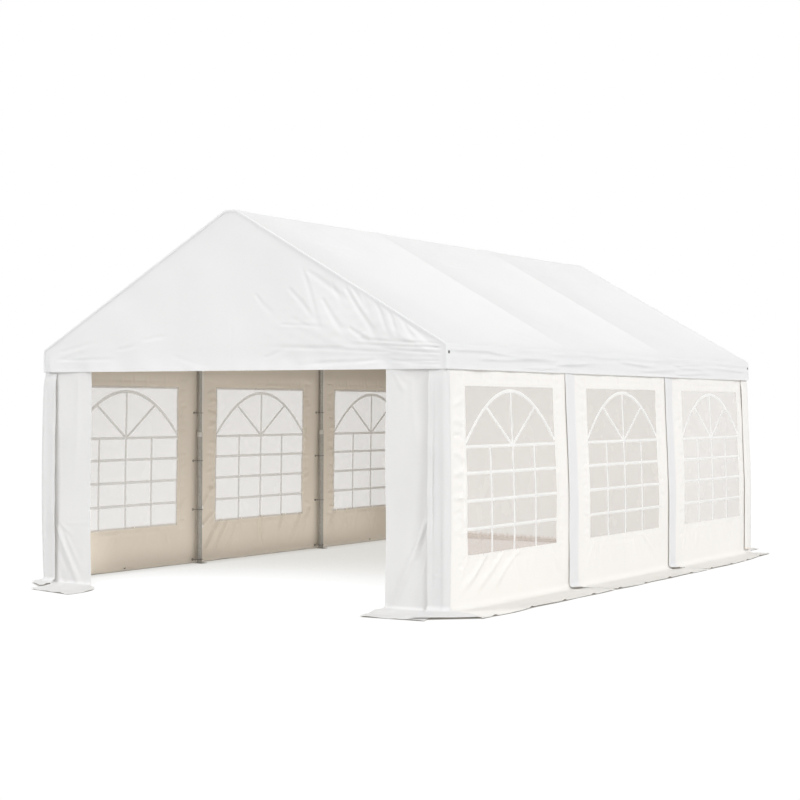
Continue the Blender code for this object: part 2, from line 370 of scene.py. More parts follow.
def creases(across, down, lines):
    """Tension folds. Each runs from where the cloth is held to where it dies away:
    both ends, then the fold's height and half its width."""
    total = np.zeros_like(across)
    for start, end, height, width in lines:
        run = (end[0] - start[0], end[1] - start[1])
        length = math.hypot(*run)
        along = ((across - start[0]) * run[0] + (down - start[1]) * run[1]) / length**2
        aside = ((across - start[0]) * run[1] - (down - start[1]) * run[0]) / length
        bend = 0.15 * width * np.sin(along * 7.0 + start[0] * 9)
        inside = np.clip(along, 0, 1)
        spread = width * (0.65 + 0.7 * inside)
        fade = smooth_step(inside, 0.0, 0.08) * smooth_step(1 - inside, 0.0, 0.45)
        across_fold = (aside + bend) / spread
        total += height * fade * (
            np.exp(-(across_fold**2)) - 0.4 * np.exp(-((across_fold / 2.1) ** 2))
        )
    return total


def select_only(piece):
    bpy.ops.object.select_all(action="DESELECT")
    piece.select_set(True)
    bpy.context.view_layer.objects.active = piece


def make_sheet(name, across, down, lay, outward, skins, hole=None, keep=None, trims=(),
               thickness=CLOTH):
    """Cloth cut flat as a grid, then laid in place. Its UV map is the flat cloth in metres.
    hole and keep cut the grid along its own lines, and trims cut it along slanting lines."""
    a, b = (grid.ravel() for grid in np.meshgrid(across, down, indexing="ij"))
    index = np.arange(a.size).reshape(len(across), len(down))
    quads = np.stack(
        [index[:-1, :-1], index[1:, :-1], index[1:, 1:], index[:-1, 1:]], axis=-1
    ).reshape(-1, 4)
    middle = np.stack([a[quads].mean(axis=1), b[quads].mean(axis=1)])
    kept = np.ones(len(quads), bool)
    if hole:
        kept &= ~(
            (middle[0] > hole[0]) & (middle[0] < hole[1])
            & (middle[1] > hole[2]) & (middle[1] < hole[3])
        )
    if keep:
        kept &= keep(*middle)
    shape = bpy.data.meshes.new(name)
    shape.from_pydata(np.stack([a, b, 0 * a], axis=1).tolist(), [], quads[kept].tolist())
    cut = bmesh.new()
    cut.from_mesh(shape)
    for point, away in trims:
        bmesh.ops.bisect_plane(
            cut, geom=cut.verts[:] + cut.edges[:] + cut.faces[:], dist=0.0005,
            plane_co=(*point, 0), plane_no=(*away, 0), clear_outer=True,
        )
    loose = [vert for vert in cut.verts if not vert.link_faces]
    bmesh.ops.delete(cut, geom=loose, context="VERTS")
    cut.to_mesh(shape)
    cut.free()

    places = np.empty(len(shape.vertices) * 3)
    shape.vertices.foreach_get("co", places)
    a, b = places.reshape(-1, 3)[:, 0], places.reshape(-1, 3)[:, 1]
    corners = np.empty(len(shape.loops), np.int32)
    shape.loops.foreach_get("vertex_index", corners)
    flat = np.stack([a, b], axis=1)[corners]
    shape.uv_layers.new(name="flat").data.foreach_set("uv", flat.ravel())
    shape.vertices.foreach_set("co", np.stack(lay(a, b), axis=1).ravel())
    shape.update()
    facing = np.empty(len(shape.polygons) * 3)
    shape.polygons.foreach_get("normal", facing)
    if facing.reshape(-1, 3).mean(axis=0) @ np.array(outward) < 0:
        shape.flip_normals()
    for skin in skins:
        shape.materials.append(skin)
    piece = bpy.data.objects.new(name, shape)
    bpy.context.scene.collection.objects.link(piece)
    body = piece.modifiers.new("cloth", "SOLIDIFY")
    body.thickness = thickness
    body.offset = -1
    body.material_offset = len(skins) - 1
    select_only(piece)
    bpy.ops.object.modifier_apply(modifier="cloth")
    bpy.ops.object.shade_smooth_by_angle(angle=math.radians(50))
    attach(piece, "root")
    return piece


RIDGE_ROUND = 0.050
EAVE_ROUND = 0.026
RAKE_ROUND = 0.0045
RAKE_FLANGE = 0.014
EAVE_TURN = math.pi / 2 - SLOPE
TOP_RUN = RIDGE_FLAT - RIDGE_ROUND * math.tan(SLOPE / 2)
SLOPE_LENGTH = (
    math.hypot(EAVE_X - RIDGE_FLAT, RIDGE_Z - EAVE_Z)
    - RIDGE_ROUND * math.tan(SLOPE / 2) - EAVE_ROUND * math.tan(EAVE_TURN / 2)
)
SLOPE_START = TOP_RUN + RIDGE_ROUND * SLOPE
EAVE_START = SLOPE_START + SLOPE_LENGTH
HANG_START = EAVE_START + EAVE_ROUND * EAVE_TURN
ROOF_RUN = HANG_START + EAVE_Z - EAVE_ROUND * math.tan(EAVE_TURN / 2) - VALANCE_Z
RAKE_TURN = GABLE_Y - RAKE_ROUND
HEM_START = ROOF_RUN - HANG_START - HEM_WIDTH
roof_slack = slack(3, 14, 0.35, 1.1)
valance_slack = slack(5, 9, 0.25, 0.9)
ROOF_CREASES = [
    ((0.10, -2.40), (0.75, -2.05), 0.006, 0.030),
    ((0.08, -2.10), (0.60, -1.70), 0.005, 0.028),
    ((0.12, -1.55), (0.70, -1.35), 0.005, 0.025),
    ((0.10, -0.55), (0.55, -0.20), 0.005, 0.030),
    ((0.12, 0.10), (0.65, 0.45), 0.004, 0.028),
    ((0.10, 1.50), (0.60, 1.85), 0.005, 0.028),
    ((2.16, -2.75), (1.60, -2.35), 0.007, 0.035),
    ((2.16, -2.85), (1.30, -2.70), 0.006, 0.030),
    ((2.16, -1.15), (1.70, -1.55), 0.006, 0.035),
    ((2.16, 0.85), (1.65, 0.40), 0.006, 0.035),
    ((2.16, 2.85), (1.70, 2.45), 0.006, 0.035),
]
VALANCE_CREASES = [
    ((-2.960, 1.880), (-1.900, 1.893), 0.0090, 0.018),
    ((-2.421, 1.872), (-1.074, 1.833), 0.0140, 0.020),
    ((-2.600, 1.818), (-1.336, 1.853), 0.0110, 0.018),
    ((-1.336, 1.802), (-0.484, 1.847), 0.0140, 0.020),
    ((-1.850, 1.770), (-1.100, 1.786), 0.0080, 0.015),
    ((-0.100, 1.860), (0.850, 1.822), 0.0120, 0.020),
    ((0.300, 1.790), (1.300, 1.812), 0.0100, 0.018),
    ((1.050, 1.856), (1.900, 1.872), 0.0100, 0.018),
    ((1.250, 1.832), (2.050, 1.822), 0.0100, 0.018),
    ((2.920, 1.830), (1.350, 1.862), 0.0100, 0.020),
    ((1.100, 1.775), (2.200, 1.800), 0.0100, 0.018),
]


def ridge_wrinkles():
    """Short slack wrinkles that run along just under the ridge, in every bay."""
    draw = np.random.default_rng(17)
    for bay_start in FRAME_YS[:3]:
        for place in np.linspace(0.08, 0.52, 8):
            start = bay_start + draw.uniform(0.12, 0.75)
            end = min(start + draw.uniform(0.45, 1.1), bay_start + 1.9)
            slant = draw.uniform(-0.03, 0.07)
            height = draw.uniform(0.0020, 0.0042)
            yield (place, start), (place + slant, end), height, draw.uniform(0.014, 0.020)


ROOF_CREASES += ridge_wrinkles()


def roof_line(run):
    """Across the roof, run metres of cloth from the ridge: how far out, how high, how
    steep, and how far down the hanging edge. Ridge and eave are rounded."""
    on_top = np.clip(run, 0, TOP_RUN)
    over = np.clip(run - TOP_RUN, 0, SLOPE_START - TOP_RUN) / RIDGE_ROUND
    down = np.clip(run - SLOPE_START, 0, SLOPE_LENGTH)
    round_eave = np.clip(run - EAVE_START, 0, HANG_START - EAVE_START) / EAVE_ROUND
    below = np.maximum(run - HANG_START, 0)
    tilt = over + round_eave
    out = on_top + RIDGE_ROUND * np.sin(over) + down * math.cos(SLOPE)
    out = out + EAVE_ROUND * (np.sin(SLOPE + round_eave) - math.sin(SLOPE))
    high = RIDGE_Z - RIDGE_ROUND * (1 - np.cos(over)) - down * math.sin(SLOPE)
    high = high - EAVE_ROUND * (math.cos(SLOPE) - np.cos(SLOPE + round_eave)) - below
    return out, high, tilt, below


def lay_roof(across, along):
    """The main sheet: across is metres from the ridge, positive to the right."""
    side = np.where(across < 0, -1.0, 1.0)
    run = np.abs(across)
    out, high, tilt, below = roof_line(run)
    free = np.abs(np.sin(math.pi * (along + 3) / 2)) * (np.abs(along) < 3)
    on_slope = np.clip(run / EAVE_START, 0, 1)
    held = smooth_step(run, 0.02, 0.25) * smooth_step(EAVE_START - run, 0.0, 0.18)
    sag = -ROOF_SAG * free**0.8 * np.sin(math.pi * on_slope) ** 0.6
    loose = roof_slack(across, along) * 0.0035 * free * held
    folds = creases(run, np.where(side > 0, along, -along * 0.93 + 0.11), ROOF_CREASES)
    relief = sag + loose + folds * np.clip(free * 2, 0, 1) * smooth_step(run, 0.0, 0.1)
    hang = smooth_step(below, 0.0, 0.03)
    tuck = np.exp(-(((below - 0.045) / 0.018) ** 2))
    hem = HEM_RISE * smooth_step(below, HEM_START, HEM_START + 0.003)
    flare = 0.0025 + 0.0025 * below / VALANCE_DROP - 0.0055 * tuck + hem
    edge_folds = 1.25 * creases(np.where(side > 0, along, -along), high, VALANCE_CREASES)
    flare = hang * (flare + edge_folds + (0.0030 + 0.06 * below**2) * valance_slack(along, across))
    flare = flare * (1 - 0.75 * smooth_step(np.abs(along), GABLE_Y - 0.06, GABLE_Y))
    relief = np.where(below > 0, np.maximum(flare, -0.0035 * hang), relief)

    turn = np.maximum(np.abs(along) - RAKE_TURN, 0)
    bend = np.minimum(turn / RAKE_ROUND, math.pi / 2)
    past = np.maximum(turn - RAKE_ROUND * math.pi / 2, 0)
    sunk = RAKE_ROUND * (1 - np.cos(bend)) + past
    y = np.sign(along) * (np.minimum(np.abs(along), RAKE_TURN) + RAKE_ROUND * np.sin(bend))
    drop = relief * np.cos(bend) - sunk
    return side * (out + np.sin(tilt) * drop), y, high + np.cos(tilt) * drop


flange_run = RAKE_ROUND * math.pi / 2 + RAKE_FLANGE
seen_half = joined(
    even(0.0, SLOPE_START, 0.009), even(SLOPE_START, 0.65, 0.011), even(0.65, EAVE_START, 0.034),
    even(EAVE_START, HANG_START, 0.005), even(HANG_START, ROOF_RUN, 0.007),
)
far_half = joined(
    even(0.0, SLOPE_START, 0.009), even(SLOPE_START, EAVE_START, 0.045),
    even(EAVE_START, HANG_START, 0.008), even(HANG_START, ROOF_RUN, 0.014),
)
roof_length = joined(
    even(-RAKE_TURN - flange_run, -RAKE_TURN, 0.003),
    even(-RAKE_TURN, -2.9, 0.015), even(-2.9, -1.1, 0.05), even(-1.1, -0.9, 0.018),
    even(-0.9, 0.9, 0.05), even(0.9, 1.1, 0.018), even(1.1, 2.9, 0.05),
    even(2.9, RAKE_TURN, 0.015), even(RAKE_TURN, RAKE_TURN + flange_run, 0.003),
)
roof_sheet = make_sheet(
    "roof_sheet", joined(-far_half[::-1], seen_half), roof_length, lay_roof, (0, 0, 1),
    (cover_outside, cover_inside),
)
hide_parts("roof_cover")
[name for name in frame_nodes if "rafter" in name or "rail" in name]


# The gables: a triangle of the same cloth sewn in behind the rake of the main sheet at
# each end, with its lower edge hanging level with the side edges. Creases fan out from
# the eave corner, where the cover is pulled down.
GABLE_SET = 0.0026
RAKE_INSET = RAKE_ROUND + 0.004
FOLD_DEPTH = 0.84
FRONT_CREASES = [
    ((1.060, 2.370), (1.400, 1.900), -0.0110, 0.022),
    ((0.700, 2.500), (1.220, 2.180), -0.0080, 0.022),
    ((1.130, 2.360), (1.300, 2.110), -0.0080, 0.018),
    ((1.320, 2.270), (1.470, 1.970), -0.0090, 0.018),
    ((1.430, 2.210), (1.560, 1.930), -0.0080, 0.018),
    ((1.530, 2.140), (1.900, 1.865), -0.0110, 0.020),
    ((1.640, 2.092), (1.900, 1.900), -0.0080, 0.013),
    ((1.550, 2.110), (1.700, 1.930), -0.0080, 0.018),
    ((1.222, 2.300), (1.330, 2.060), -0.0050, 0.019),
    ((1.930, 1.889), (1.000, 1.935), -0.0075, 0.011),
    ((1.925, 1.850), (1.240, 1.905), -0.0075, 0.011),
    ((1.890, 1.883), (1.400, 1.978), -0.0065, 0.013),
    ((1.905, 1.918), (1.050, 1.972), -0.0065, 0.011),
    ((1.915, 1.793), (1.260, 1.810), -0.0065, 0.010),
    ((1.910, 1.771), (1.480, 1.794), -0.0050, 0.009),
    ((1.360, 1.809), (0.560, 1.775), -0.0080, 0.018),
    ((1.100, 1.900), (0.250, 1.925), -0.0050, 0.014),
    ((1.500, 1.866), (0.450, 1.912), -0.0050, 0.013),
    ((0.680, 2.510), (0.880, 1.990), -0.0080, 0.024),
    ((0.550, 2.375), (0.890, 2.030), -0.0070, 0.024),
    ((0.850, 2.285), (1.110, 1.950), -0.0070, 0.024),
    ((0.940, 2.400), (1.080, 2.170), -0.0050, 0.022),
    ((0.230, 2.330), (0.440, 2.130), -0.0045, 0.022),
    ((0.470, 2.092), (0.960, 2.055), -0.0045, 0.014),
    ((0.760, 2.066), (0.540, 2.145), -0.0040, 0.019),
    ((1.110, 2.055), (1.270, 1.945), -0.0080, 0.018),
    ((1.225, 2.010), (1.330, 1.950), 0.0080, 0.024),
    ((1.680, 1.925), (1.780, 1.905), 0.0060, 0.019),
    ((-1.790, 1.840), (-1.420, 1.905), -0.0050, 0.019),
    ((-1.150, 1.915), (-0.860, 1.960), -0.0040, 0.018),
    ((-0.890, 1.992), (-0.580, 2.024), -0.0040, 0.018),
    ((-1.760, 1.841), (-1.050, 1.838), -0.0045, 0.014),
    ((-1.780, 1.905), (-1.300, 1.990), -0.0045, 0.019),
    ((-0.570, 1.860), (-0.200, 1.765), -0.0040, 0.019),
    ((0.320, 1.835), (0.580, 1.910), -0.0040, 0.019),
    ((0.012, 1.800), (0.011, 2.200), -0.0025, 0.013),
]
BACK_CREASES = [((-x0, z0), (-x1, z1), h, w) for (x0, z0), (x1, z1), h, w in FRONT_CREASES[:18:2]]
BACK_CREASES += [
    ((1.90, 1.92), (1.30, 2.18), -0.0060, 0.018),
    ((1.88, 1.88), (1.02, 2.02), -0.0050, 0.016),
    ((1.60, 1.83), (0.70, 1.87), -0.0040, 0.014),
    ((1.35, 2.00), (1.05, 2.30), -0.0050, 0.017),
]
gable_slack = slack(11, 12, 0.30, 1.0)
gable_ripple = slack(12, 10, 0.07, 0.16)


def rake_height(x, below_edge):
    """Height on the gable of a line that runs below_edge metres inside the rake."""
    return PEAK_Z - below_edge / math.cos(SLOPE) - np.abs(x) * math.tan(SLOPE)


def gable_relief(x, z, lines):
    edge = np.clip((rake_height(x, 0.024) - z) / 0.12, 0, 1)
    sides = smooth_step(EAVE_X - 0.040 - np.abs(x), 0, 0.04)
    hang = smooth_step(1.90 - z, 0, 0.16)
    busy = smooth_step(x * np.sign(lines[0][0][0]), 0.1, 0.9) * smooth_step(2.5 - z, 0, 0.5)
    waves = 0.0035 * gable_slack(x, z) + 0.0008 * busy * gable_ripple(x, z)
    billow = 0.012 * busy * smooth_step(z, 1.80, 1.98)
    flare = hang * (0.005 + 0.0025 * gable_slack(x * 2.3, z))
    hem = HEM_RISE * smooth_step(VALANCE_Z + HEM_WIDTH - z, 0, 0.003)
    folds = FOLD_DEPTH * creases(x, z, lines) * np.clip(6 * edge, 0, 1)
    return (folds + (waves + billow) * edge + flare + hem) * sides


half = EAVE_X - RAKE_INSET
front_grid = (
    joined(even(-half, 0.0, 0.018), even(0.0, half, 0.0085)),
    joined(even(VALANCE_Z, 2.36, 0.0085), even(2.36, RIDGE_Z, 0.016)),
)
back_grid = (even(-half, half, 0.017), even(VALANCE_Z, RIDGE_Z, 0.017))
for end_name, facing, lines, (across, up) in (
    ("front", -1, FRONT_CREASES, front_grid), ("back", 1, BACK_CREASES, back_grid),
):

    def lay_gable(x, z, facing=facing, lines=lines):
        out = np.maximum(gable_relief(x, z, lines), -0.006)
        return x, facing * (GABLE_Y - GABLE_SET + out), z

    gable = make_sheet(
        f"{end_name}_gable", across, up, lay_gable, (0, facing, 0), (cover_outside, cover_inside),
        trims=[
            ((0, rake_height(0, RAKE_INSET)), (math.sin(SLOPE), math.cos(SLOPE))),
            ((0, rake_height(0, RAKE_INSET)), (-math.sin(SLOPE), math.cos(SLOPE))),
            ((0, RIDGE_Z - RAKE_INSET), (0, 1)),
        ],
    )
    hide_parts("roof_cover")


# The side walls: three sheets a side of a slightly warmer cloth, hung inside the valance
# and lapping under the next storm flap. Each has a window, and its foot turns outward
# over a soft bend into a skirt that lies on the ground.
WALL_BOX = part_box("right_wall_panel_2")
WALL_TOP = WALL_BOX[1][2]
WALL_FACE = 1.9362
WALL_END = 3.0281
LAP_FACE = 1.9405
LAP_END = 3.0324
CORNER_ROUND = 0.030
FOOT_ROUND = 0.045
LYING_TILT = 1.5
WINDOW_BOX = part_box("right_window_2")
WINDOW_HALF = 0.702
WINDOW_LOW, WINDOW_HIGH = WINDOW_BOX[0][2], WINDOW_BOX[1][2]
FLAP_REACH = 0.091
GROUNDED = CLOTH + 0.0003
LAP_BACK = 0.060
CORNER_FLAP = 0.14
OUT_WAY = {"right": 1.0, "left": -1.0}

wall_outside = coated_cloth("white_wall_outside", (0.945, 0.936, 0.918), 0.60, through=0.22)
# The wall's inner face is painted darker and warmer than its outer face, a painted shade for the
# shaded inside of the tent, and darker still towards the top.
wall_inside = coated_cloth(
    "wall_inside_painted_shade", (0.885, 0.80, 0.685), 0.62, glow=(0.94, 0.90, 0.85), painted_top_shade=0.80
)


def turn_corner(run, straight):
    """A level path that follows one wall for straight metres and then turns a corner:
    how far it gets along the first wall, how far aside, and the angle it has turned."""
    past = np.maximum(run - straight, 0)
    angle = np.minimum(past / CORNER_ROUND, math.pi / 2)
    rest = np.maximum(past - CORNER_ROUND * math.pi / 2, 0)
    along = np.minimum(run, straight) + CORNER_ROUND * np.sin(angle)
    return along, CORNER_ROUND * (1 - np.cos(angle)) + rest, angle


def foot_line(height, bend):
    """Down a wall and out over the ground: the distance out, the height and the tilt.
    height is metres of cloth above the ground line, and below zero is skirt."""
    past = np.maximum(bend - height, 0)
    tilt = np.minimum(past / bend, math.pi / 2)
    flat = np.maximum(past - bend * math.pi / 2, 0)
    out = bend * (1 - np.cos(tilt)) + flat
    return out, np.where(past > 0, bend * (1 - np.sin(tilt)), height), tilt, flat


WALL_LEAN = {"right": 0.042, "left": 0.014}
PULL_PLACES = (-3.0, -2.75, -1.3, -1.0, -0.7, 0.7, 1.0, 3.0)
PULL_RIGHT = (0.0, 0.068, 0.052, 0.044, 0.034, 0.018, 0.010, 0.0)


def lean(side, height, along=0.0):
    """How far a side wall stands out from the line of the posts, drawn out by its skirt.
    The front corner post holds it back."""
    held = 0.30 + 0.70 * smooth_step(np.asarray(along) + 3.0, 0.0, 0.50)
    return WALL_LEAN[side] * smooth_step(1.80 - height, 0, 1.20) * held


def pull(side, along):
    """How far a side wall is hauled towards the doorway, where the corner holds it."""
    return np.interp(along, PULL_PLACES, PULL_RIGHT) if side == "right" else 0 * along


SIDE_CREASES = {
    ("right", 1): [
        ((-2.400, 0.400), (-2.860, 0.080), 0.0110, 0.028),
        ((-2.150, 0.400), (-2.640, 0.080), 0.0110, 0.028),
        ((-1.900, 0.400), (-2.420, 0.080), 0.0095, 0.028),
        ((-2.690, 0.400), (-2.803, 0.207), 0.0060, 0.020),
        ((-2.925, 1.483), (-2.700, 1.520), 0.0085, 0.026),
        ((-2.946, 1.375), (-2.690, 1.355), 0.0105, 0.024),
        ((-2.935, 1.262), (-2.690, 1.268), -0.0100, 0.020),
        ((-2.931, 1.150), (-2.690, 1.085), 0.0110, 0.026),
        ((-2.944, 0.982), (-2.685, 0.988), 0.0110, 0.024),
        ((-2.950, 0.816), (-2.682, 0.806), 0.0110, 0.024),
        ((-2.930, 0.690), (-2.690, 0.700), -0.0070, 0.022),
        ((-2.935, 0.580), (-2.690, 0.560), 0.0085, 0.026),
        ((-2.662, 1.700), (-2.563, 1.650), 0.0035, 0.014),
        ((-1.557, 1.700), (-1.471, 1.650), 0.0035, 0.014),
        ((-1.160, 1.580), (-1.298, 1.580), 0.0035, 0.013),
        ((-1.160, 1.335), (-1.297, 1.340), 0.0035, 0.013),
        ((-1.160, 0.930), (-1.290, 0.950), 0.0030, 0.013),
        ((-1.160, 0.500), (-1.290, 0.450), 0.0030, 0.015),
        ((-1.748, 0.269), (-1.087, 0.262), 0.0022, 0.007),
        ((-1.40, 0.33), (-1.15, 0.12), 0.0040, 0.022),
    ],
    ("right", 2): [
        ((0.336, 0.380), (0.700, 0.100), 0.0060, 0.020),
        ((0.560, 0.385), (0.800, 0.200), 0.0045, 0.018),
        ((-0.608, 0.385), (-0.790, 0.110), 0.0055, 0.020),
        ((-0.420, 0.385), (-0.560, 0.180), 0.0035, 0.018),
        ((-0.671, 0.313), (0.336, 0.278), 0.0022, 0.007),
        ((-0.643, 1.660), (0.622, 1.652), 0.0022, 0.008),
        ((-0.900, 1.677), (-0.770, 1.623), 0.0040, 0.014),
        ((-0.890, 1.376), (-0.740, 1.348), 0.0035, 0.013),
        ((-0.890, 0.900), (-0.740, 0.920), 0.0030, 0.013),
        ((0.840, 1.500), (0.715, 1.480), 0.0030, 0.013),
        ((0.840, 1.150), (0.715, 1.160), 0.0030, 0.013),
        ((0.840, 0.650), (0.715, 0.620), 0.0030, 0.013),
    ],
    ("right", 3): [
        ((1.332, 0.385), (1.234, 0.052), 0.0065, 0.022),
        ((1.520, 0.385), (1.440, 0.130), 0.0045, 0.020),
        ((1.634, 0.385), (1.553, 0.180), 0.0050, 0.018),
        ((1.800, 0.385), (1.758, 0.200), 0.0045, 0.016),
        ((2.350, 0.385), (2.560, 0.130), 0.0045, 0.022),
        ((1.120, 1.520), (1.270, 1.490), 0.0035, 0.013),
        ((1.120, 1.000), (1.270, 0.980), 0.0030, 0.013),
        ((2.830, 1.420), (2.720, 1.400), 0.0030, 0.013),
    ],
    ("left", 1): [
        ((-2.143, 0.350), (-2.257, 0.111), -0.0045, 0.022),
        ((-1.560, 0.370), (-1.380, 0.100), -0.0045, 0.022),
        ((-2.560, 0.380), (-2.760, 0.120), -0.0050, 0.022),
        ((-1.850, 0.360), (-1.930, 0.150), -0.0030, 0.020),
        ((-1.130, 0.620), (-1.290, 0.480), -0.0040, 0.018),
    ],
    ("left", 2): [
        ((-0.933, 0.490), (-0.720, 0.734), -0.0080, 0.020),
        ((-0.933, 0.328), (-0.690, 0.480), -0.0090, 0.018),
        ((-0.890, 0.100), (-0.560, 0.470), -0.0130, 0.018),
        ((-0.740, 0.090), (-0.460, 0.440), -0.0120, 0.018),
        ((-0.540, 0.090), (-0.330, 0.400), -0.0090, 0.018),
        ((0.009, 0.395), (0.022, 0.060), -0.0130, 0.016),
        ((0.400, 0.395), (0.235, 0.080), -0.0110, 0.020),
        ((0.690, 0.395), (0.490, 0.040), -0.0110, 0.022),
        ((0.870, 0.440), (0.640, 0.120), -0.0100, 0.020),
        ((-0.300, 0.365), (-0.644, 0.367), -0.0025, 0.012),
        ((0.880, 0.800), (0.730, 0.700), -0.0035, 0.016),
    ],
    ("left", 3): [
        ((1.322, 0.396), (1.180, 0.120), -0.0100, 0.020),
        ((1.560, 0.420), (1.400, 0.080), -0.0100, 0.020),
        ((2.050, 0.380), (1.940, 0.160), -0.0045, 0.020),
        ((2.420, 0.380), (2.560, 0.140), -0.0045, 0.022),
    ],
}


def window_puckers(side, bay):
    """Round each window: the weld of its border, and the short puckers that it draws."""
    draw = np.random.default_rng(80 + bay + (10 if side == "left" else 0))
    middle = FRAME_YS[bay - 1] + 1.0
    left, right = middle - WINDOW_HALF - 0.05, middle + WINDOW_HALF + 0.05
    low, high = WINDOW_LOW - 0.06, WINDOW_HIGH + 0.05
    for start, end in (
        ((left, high), (right, high)), ((left, low), (right, low)),
        ((left, low - 0.2), (left, high + 0.1)), ((right, low - 0.2), (right, high + 0.1)),
    ):
        yield start, end, -0.0025, 0.009
        yield end, start, -0.0025, 0.009
    for edge, way, strong in ((left, -1, 1.0), (right, 1, 0.7)):
        for height in np.arange(low, high + 0.04, 0.085):
            slant = draw.uniform(-0.035, 0.035)
            height = height + draw.uniform(-0.02, 0.02)
            start = edge + way * draw.uniform(0.05, 0.11)
            end = edge - way * draw.uniform(0.03, 0.06)
            depth = strong * draw.uniform(0.003, 0.0075) * draw.choice((-1, 1))
            yield (start, height + slant), (end, height), depth, draw.uniform(0.012, 0.018)
    for place in np.arange(left + 0.1, right, 0.19):
        place = place + draw.uniform(-0.04, 0.04)
        slant = draw.uniform(-0.04, 0.04)
        depth = draw.uniform(0.003, 0.006) * draw.choice((-1, 1))
        yield (place + slant, high + 0.07), (place, high - 0.05), depth, draw.uniform(0.011, 0.017)
    for place in np.arange(left + 0.06, right, 0.21):
        place = place + draw.uniform(-0.06, 0.06)
        slant = draw.uniform(-0.16, 0.16)
        depth = draw.uniform(0.003, 0.006) * draw.choice((-1, 1))
        yield (place, low + 0.05), (place + slant, 0.10), depth, draw.uniform(0.018, 0.026)


for (side, bay), lines in SIDE_CREASES.items():
    lines.extend(window_puckers(side, bay))
SKIRT_REACH = {"right": (0.400, 0.385, 0.362, 0.362, 0.360, 0.352, 0.350, 0.330, 0.235),
               "left": (0.075, 0.150, 0.290, 0.355, 0.350, 0.340, 0.350, 0.345, 0.300)}
SKIRT_PLACES = (-3.0, -2.7, -2.3, -1.6, -0.6, 0.3, 0.8, 1.9, 3.0)
SKIRT_CUT = 0.345
SKIRT_HEM = 0.03
SKIRT_SLIP = {"right": -0.20, "left": 0.0}
# The heights between which the cloth at the corners is drawn in, behind the hanging edge.
TUCK = (1.66, 1.735)
skirt_wave = slack(21, 8, 0.25, 0.8)
wall_waves = {"right": slack(31, 10, 0.30, 0.9), "left": slack(37, 10, 0.30, 0.9)}


def skirt_lay(side, along, flat, tilt):
    """How the skirt lies: how far it really reaches, and how high its ripples stand."""
    reach = np.interp(along, SKIRT_PLACES, SKIRT_REACH[side]) - FOOT_ROUND - WALL_LEAN[side]
    part = np.clip(flat / (SKIRT_CUT - SKIRT_HEM), 0, 1.0)
    ripple = 0.5 + 0.5 * skirt_wave(along * 2.0, flat * 2.0 + (5 if side == "left" else 0))
    spot = np.abs((along + 0.1) / 0.5 % 1.0 - 0.5) * 0.5
    lift = 0.010 * np.exp(-((spot / 0.030) ** 2)) * part**2.5
    curl = 0.0045 * part**3 * (1 + 0.5 * np.sin(along * 5.3 + 0.4))
    rise = 0.006 * np.clip(ripple, 0, 2) * smooth_step(flat, 0.0, 0.10) * (1 - 0.65 * part)
    spread = (reach / (SKIRT_CUT - SKIRT_HEM) - 1) * flat
    spread = spread + 0.005 * np.sin(along * 9.0) * part
    return spread, rise + lift + curl + 0.002 * (tilt > LYING_TILT)


WALL_FOLD = {"right": 1.6, "left": 2.6}


def wall_relief(side, along, height, lines, middle):
    """Folds of a side sheet, which lies smooth against the posts, near its top edge and
    where the window film holds it taut."""
    to_post = np.min([np.abs(along - y) for y in FRAME_YS], axis=0)
    free = smooth_step(to_post, 0.08, 0.20)
    top = 1 - 0.75 * smooth_step(height, 1.66, 1.80)
    waves = 0.0030 * wall_waves[side](along, height)
    folds = WALL_FOLD[side] * creases(along, height, lines) * smooth_step(to_post, 0.04, 0.12)
    aside = WINDOW_HALF - np.abs(along - middle)
    inwards = np.minimum(aside, np.minimum(height - WINDOW_LOW, WINDOW_HIGH - height))
    taut = 1 - 0.85 * smooth_step(inwards, 0.0, 0.06)
    return (folds + waves * free) * top * taut


def lay_side(side, bay, raised=0.0):
    """Where a side sheet's cloth lies. raised sets another piece off it, such as the film."""
    out_way = OUT_WAY[side]
    lines = SIDE_CREASES[side, bay]
    middle = FRAME_YS[bay - 1] + 1.0

    def lay(along, height):
        run, aside, angle = turn_corner(-along, WALL_END - CORNER_ROUND)
        out, up, tilt, flat = foot_line(height, FOOT_ROUND)
        relief = wall_relief(side, along, height, lines, middle)
        lift = np.where(tilt < LYING_TILT, relief, 0) + raised
        more, rise = skirt_lay(side, along, flat, tilt)
        out = out + lift * np.cos(tilt) + more + lean(side, height, along) * np.cos(angle)
        up = up + lift * np.sin(tilt) + rise + CLOTH * np.sin(tilt)
        slip = SKIRT_SLIP[side] * (flat / SKIRT_CUT) * np.exp(-np.maximum(along + 3.0, 0) / 0.35)
        x = out_way * (WALL_FACE - aside + out * np.cos(angle))
        return x, -run + slip - out * np.sin(angle) - pull(side, along), np.maximum(up, GROUNDED)

    return lay


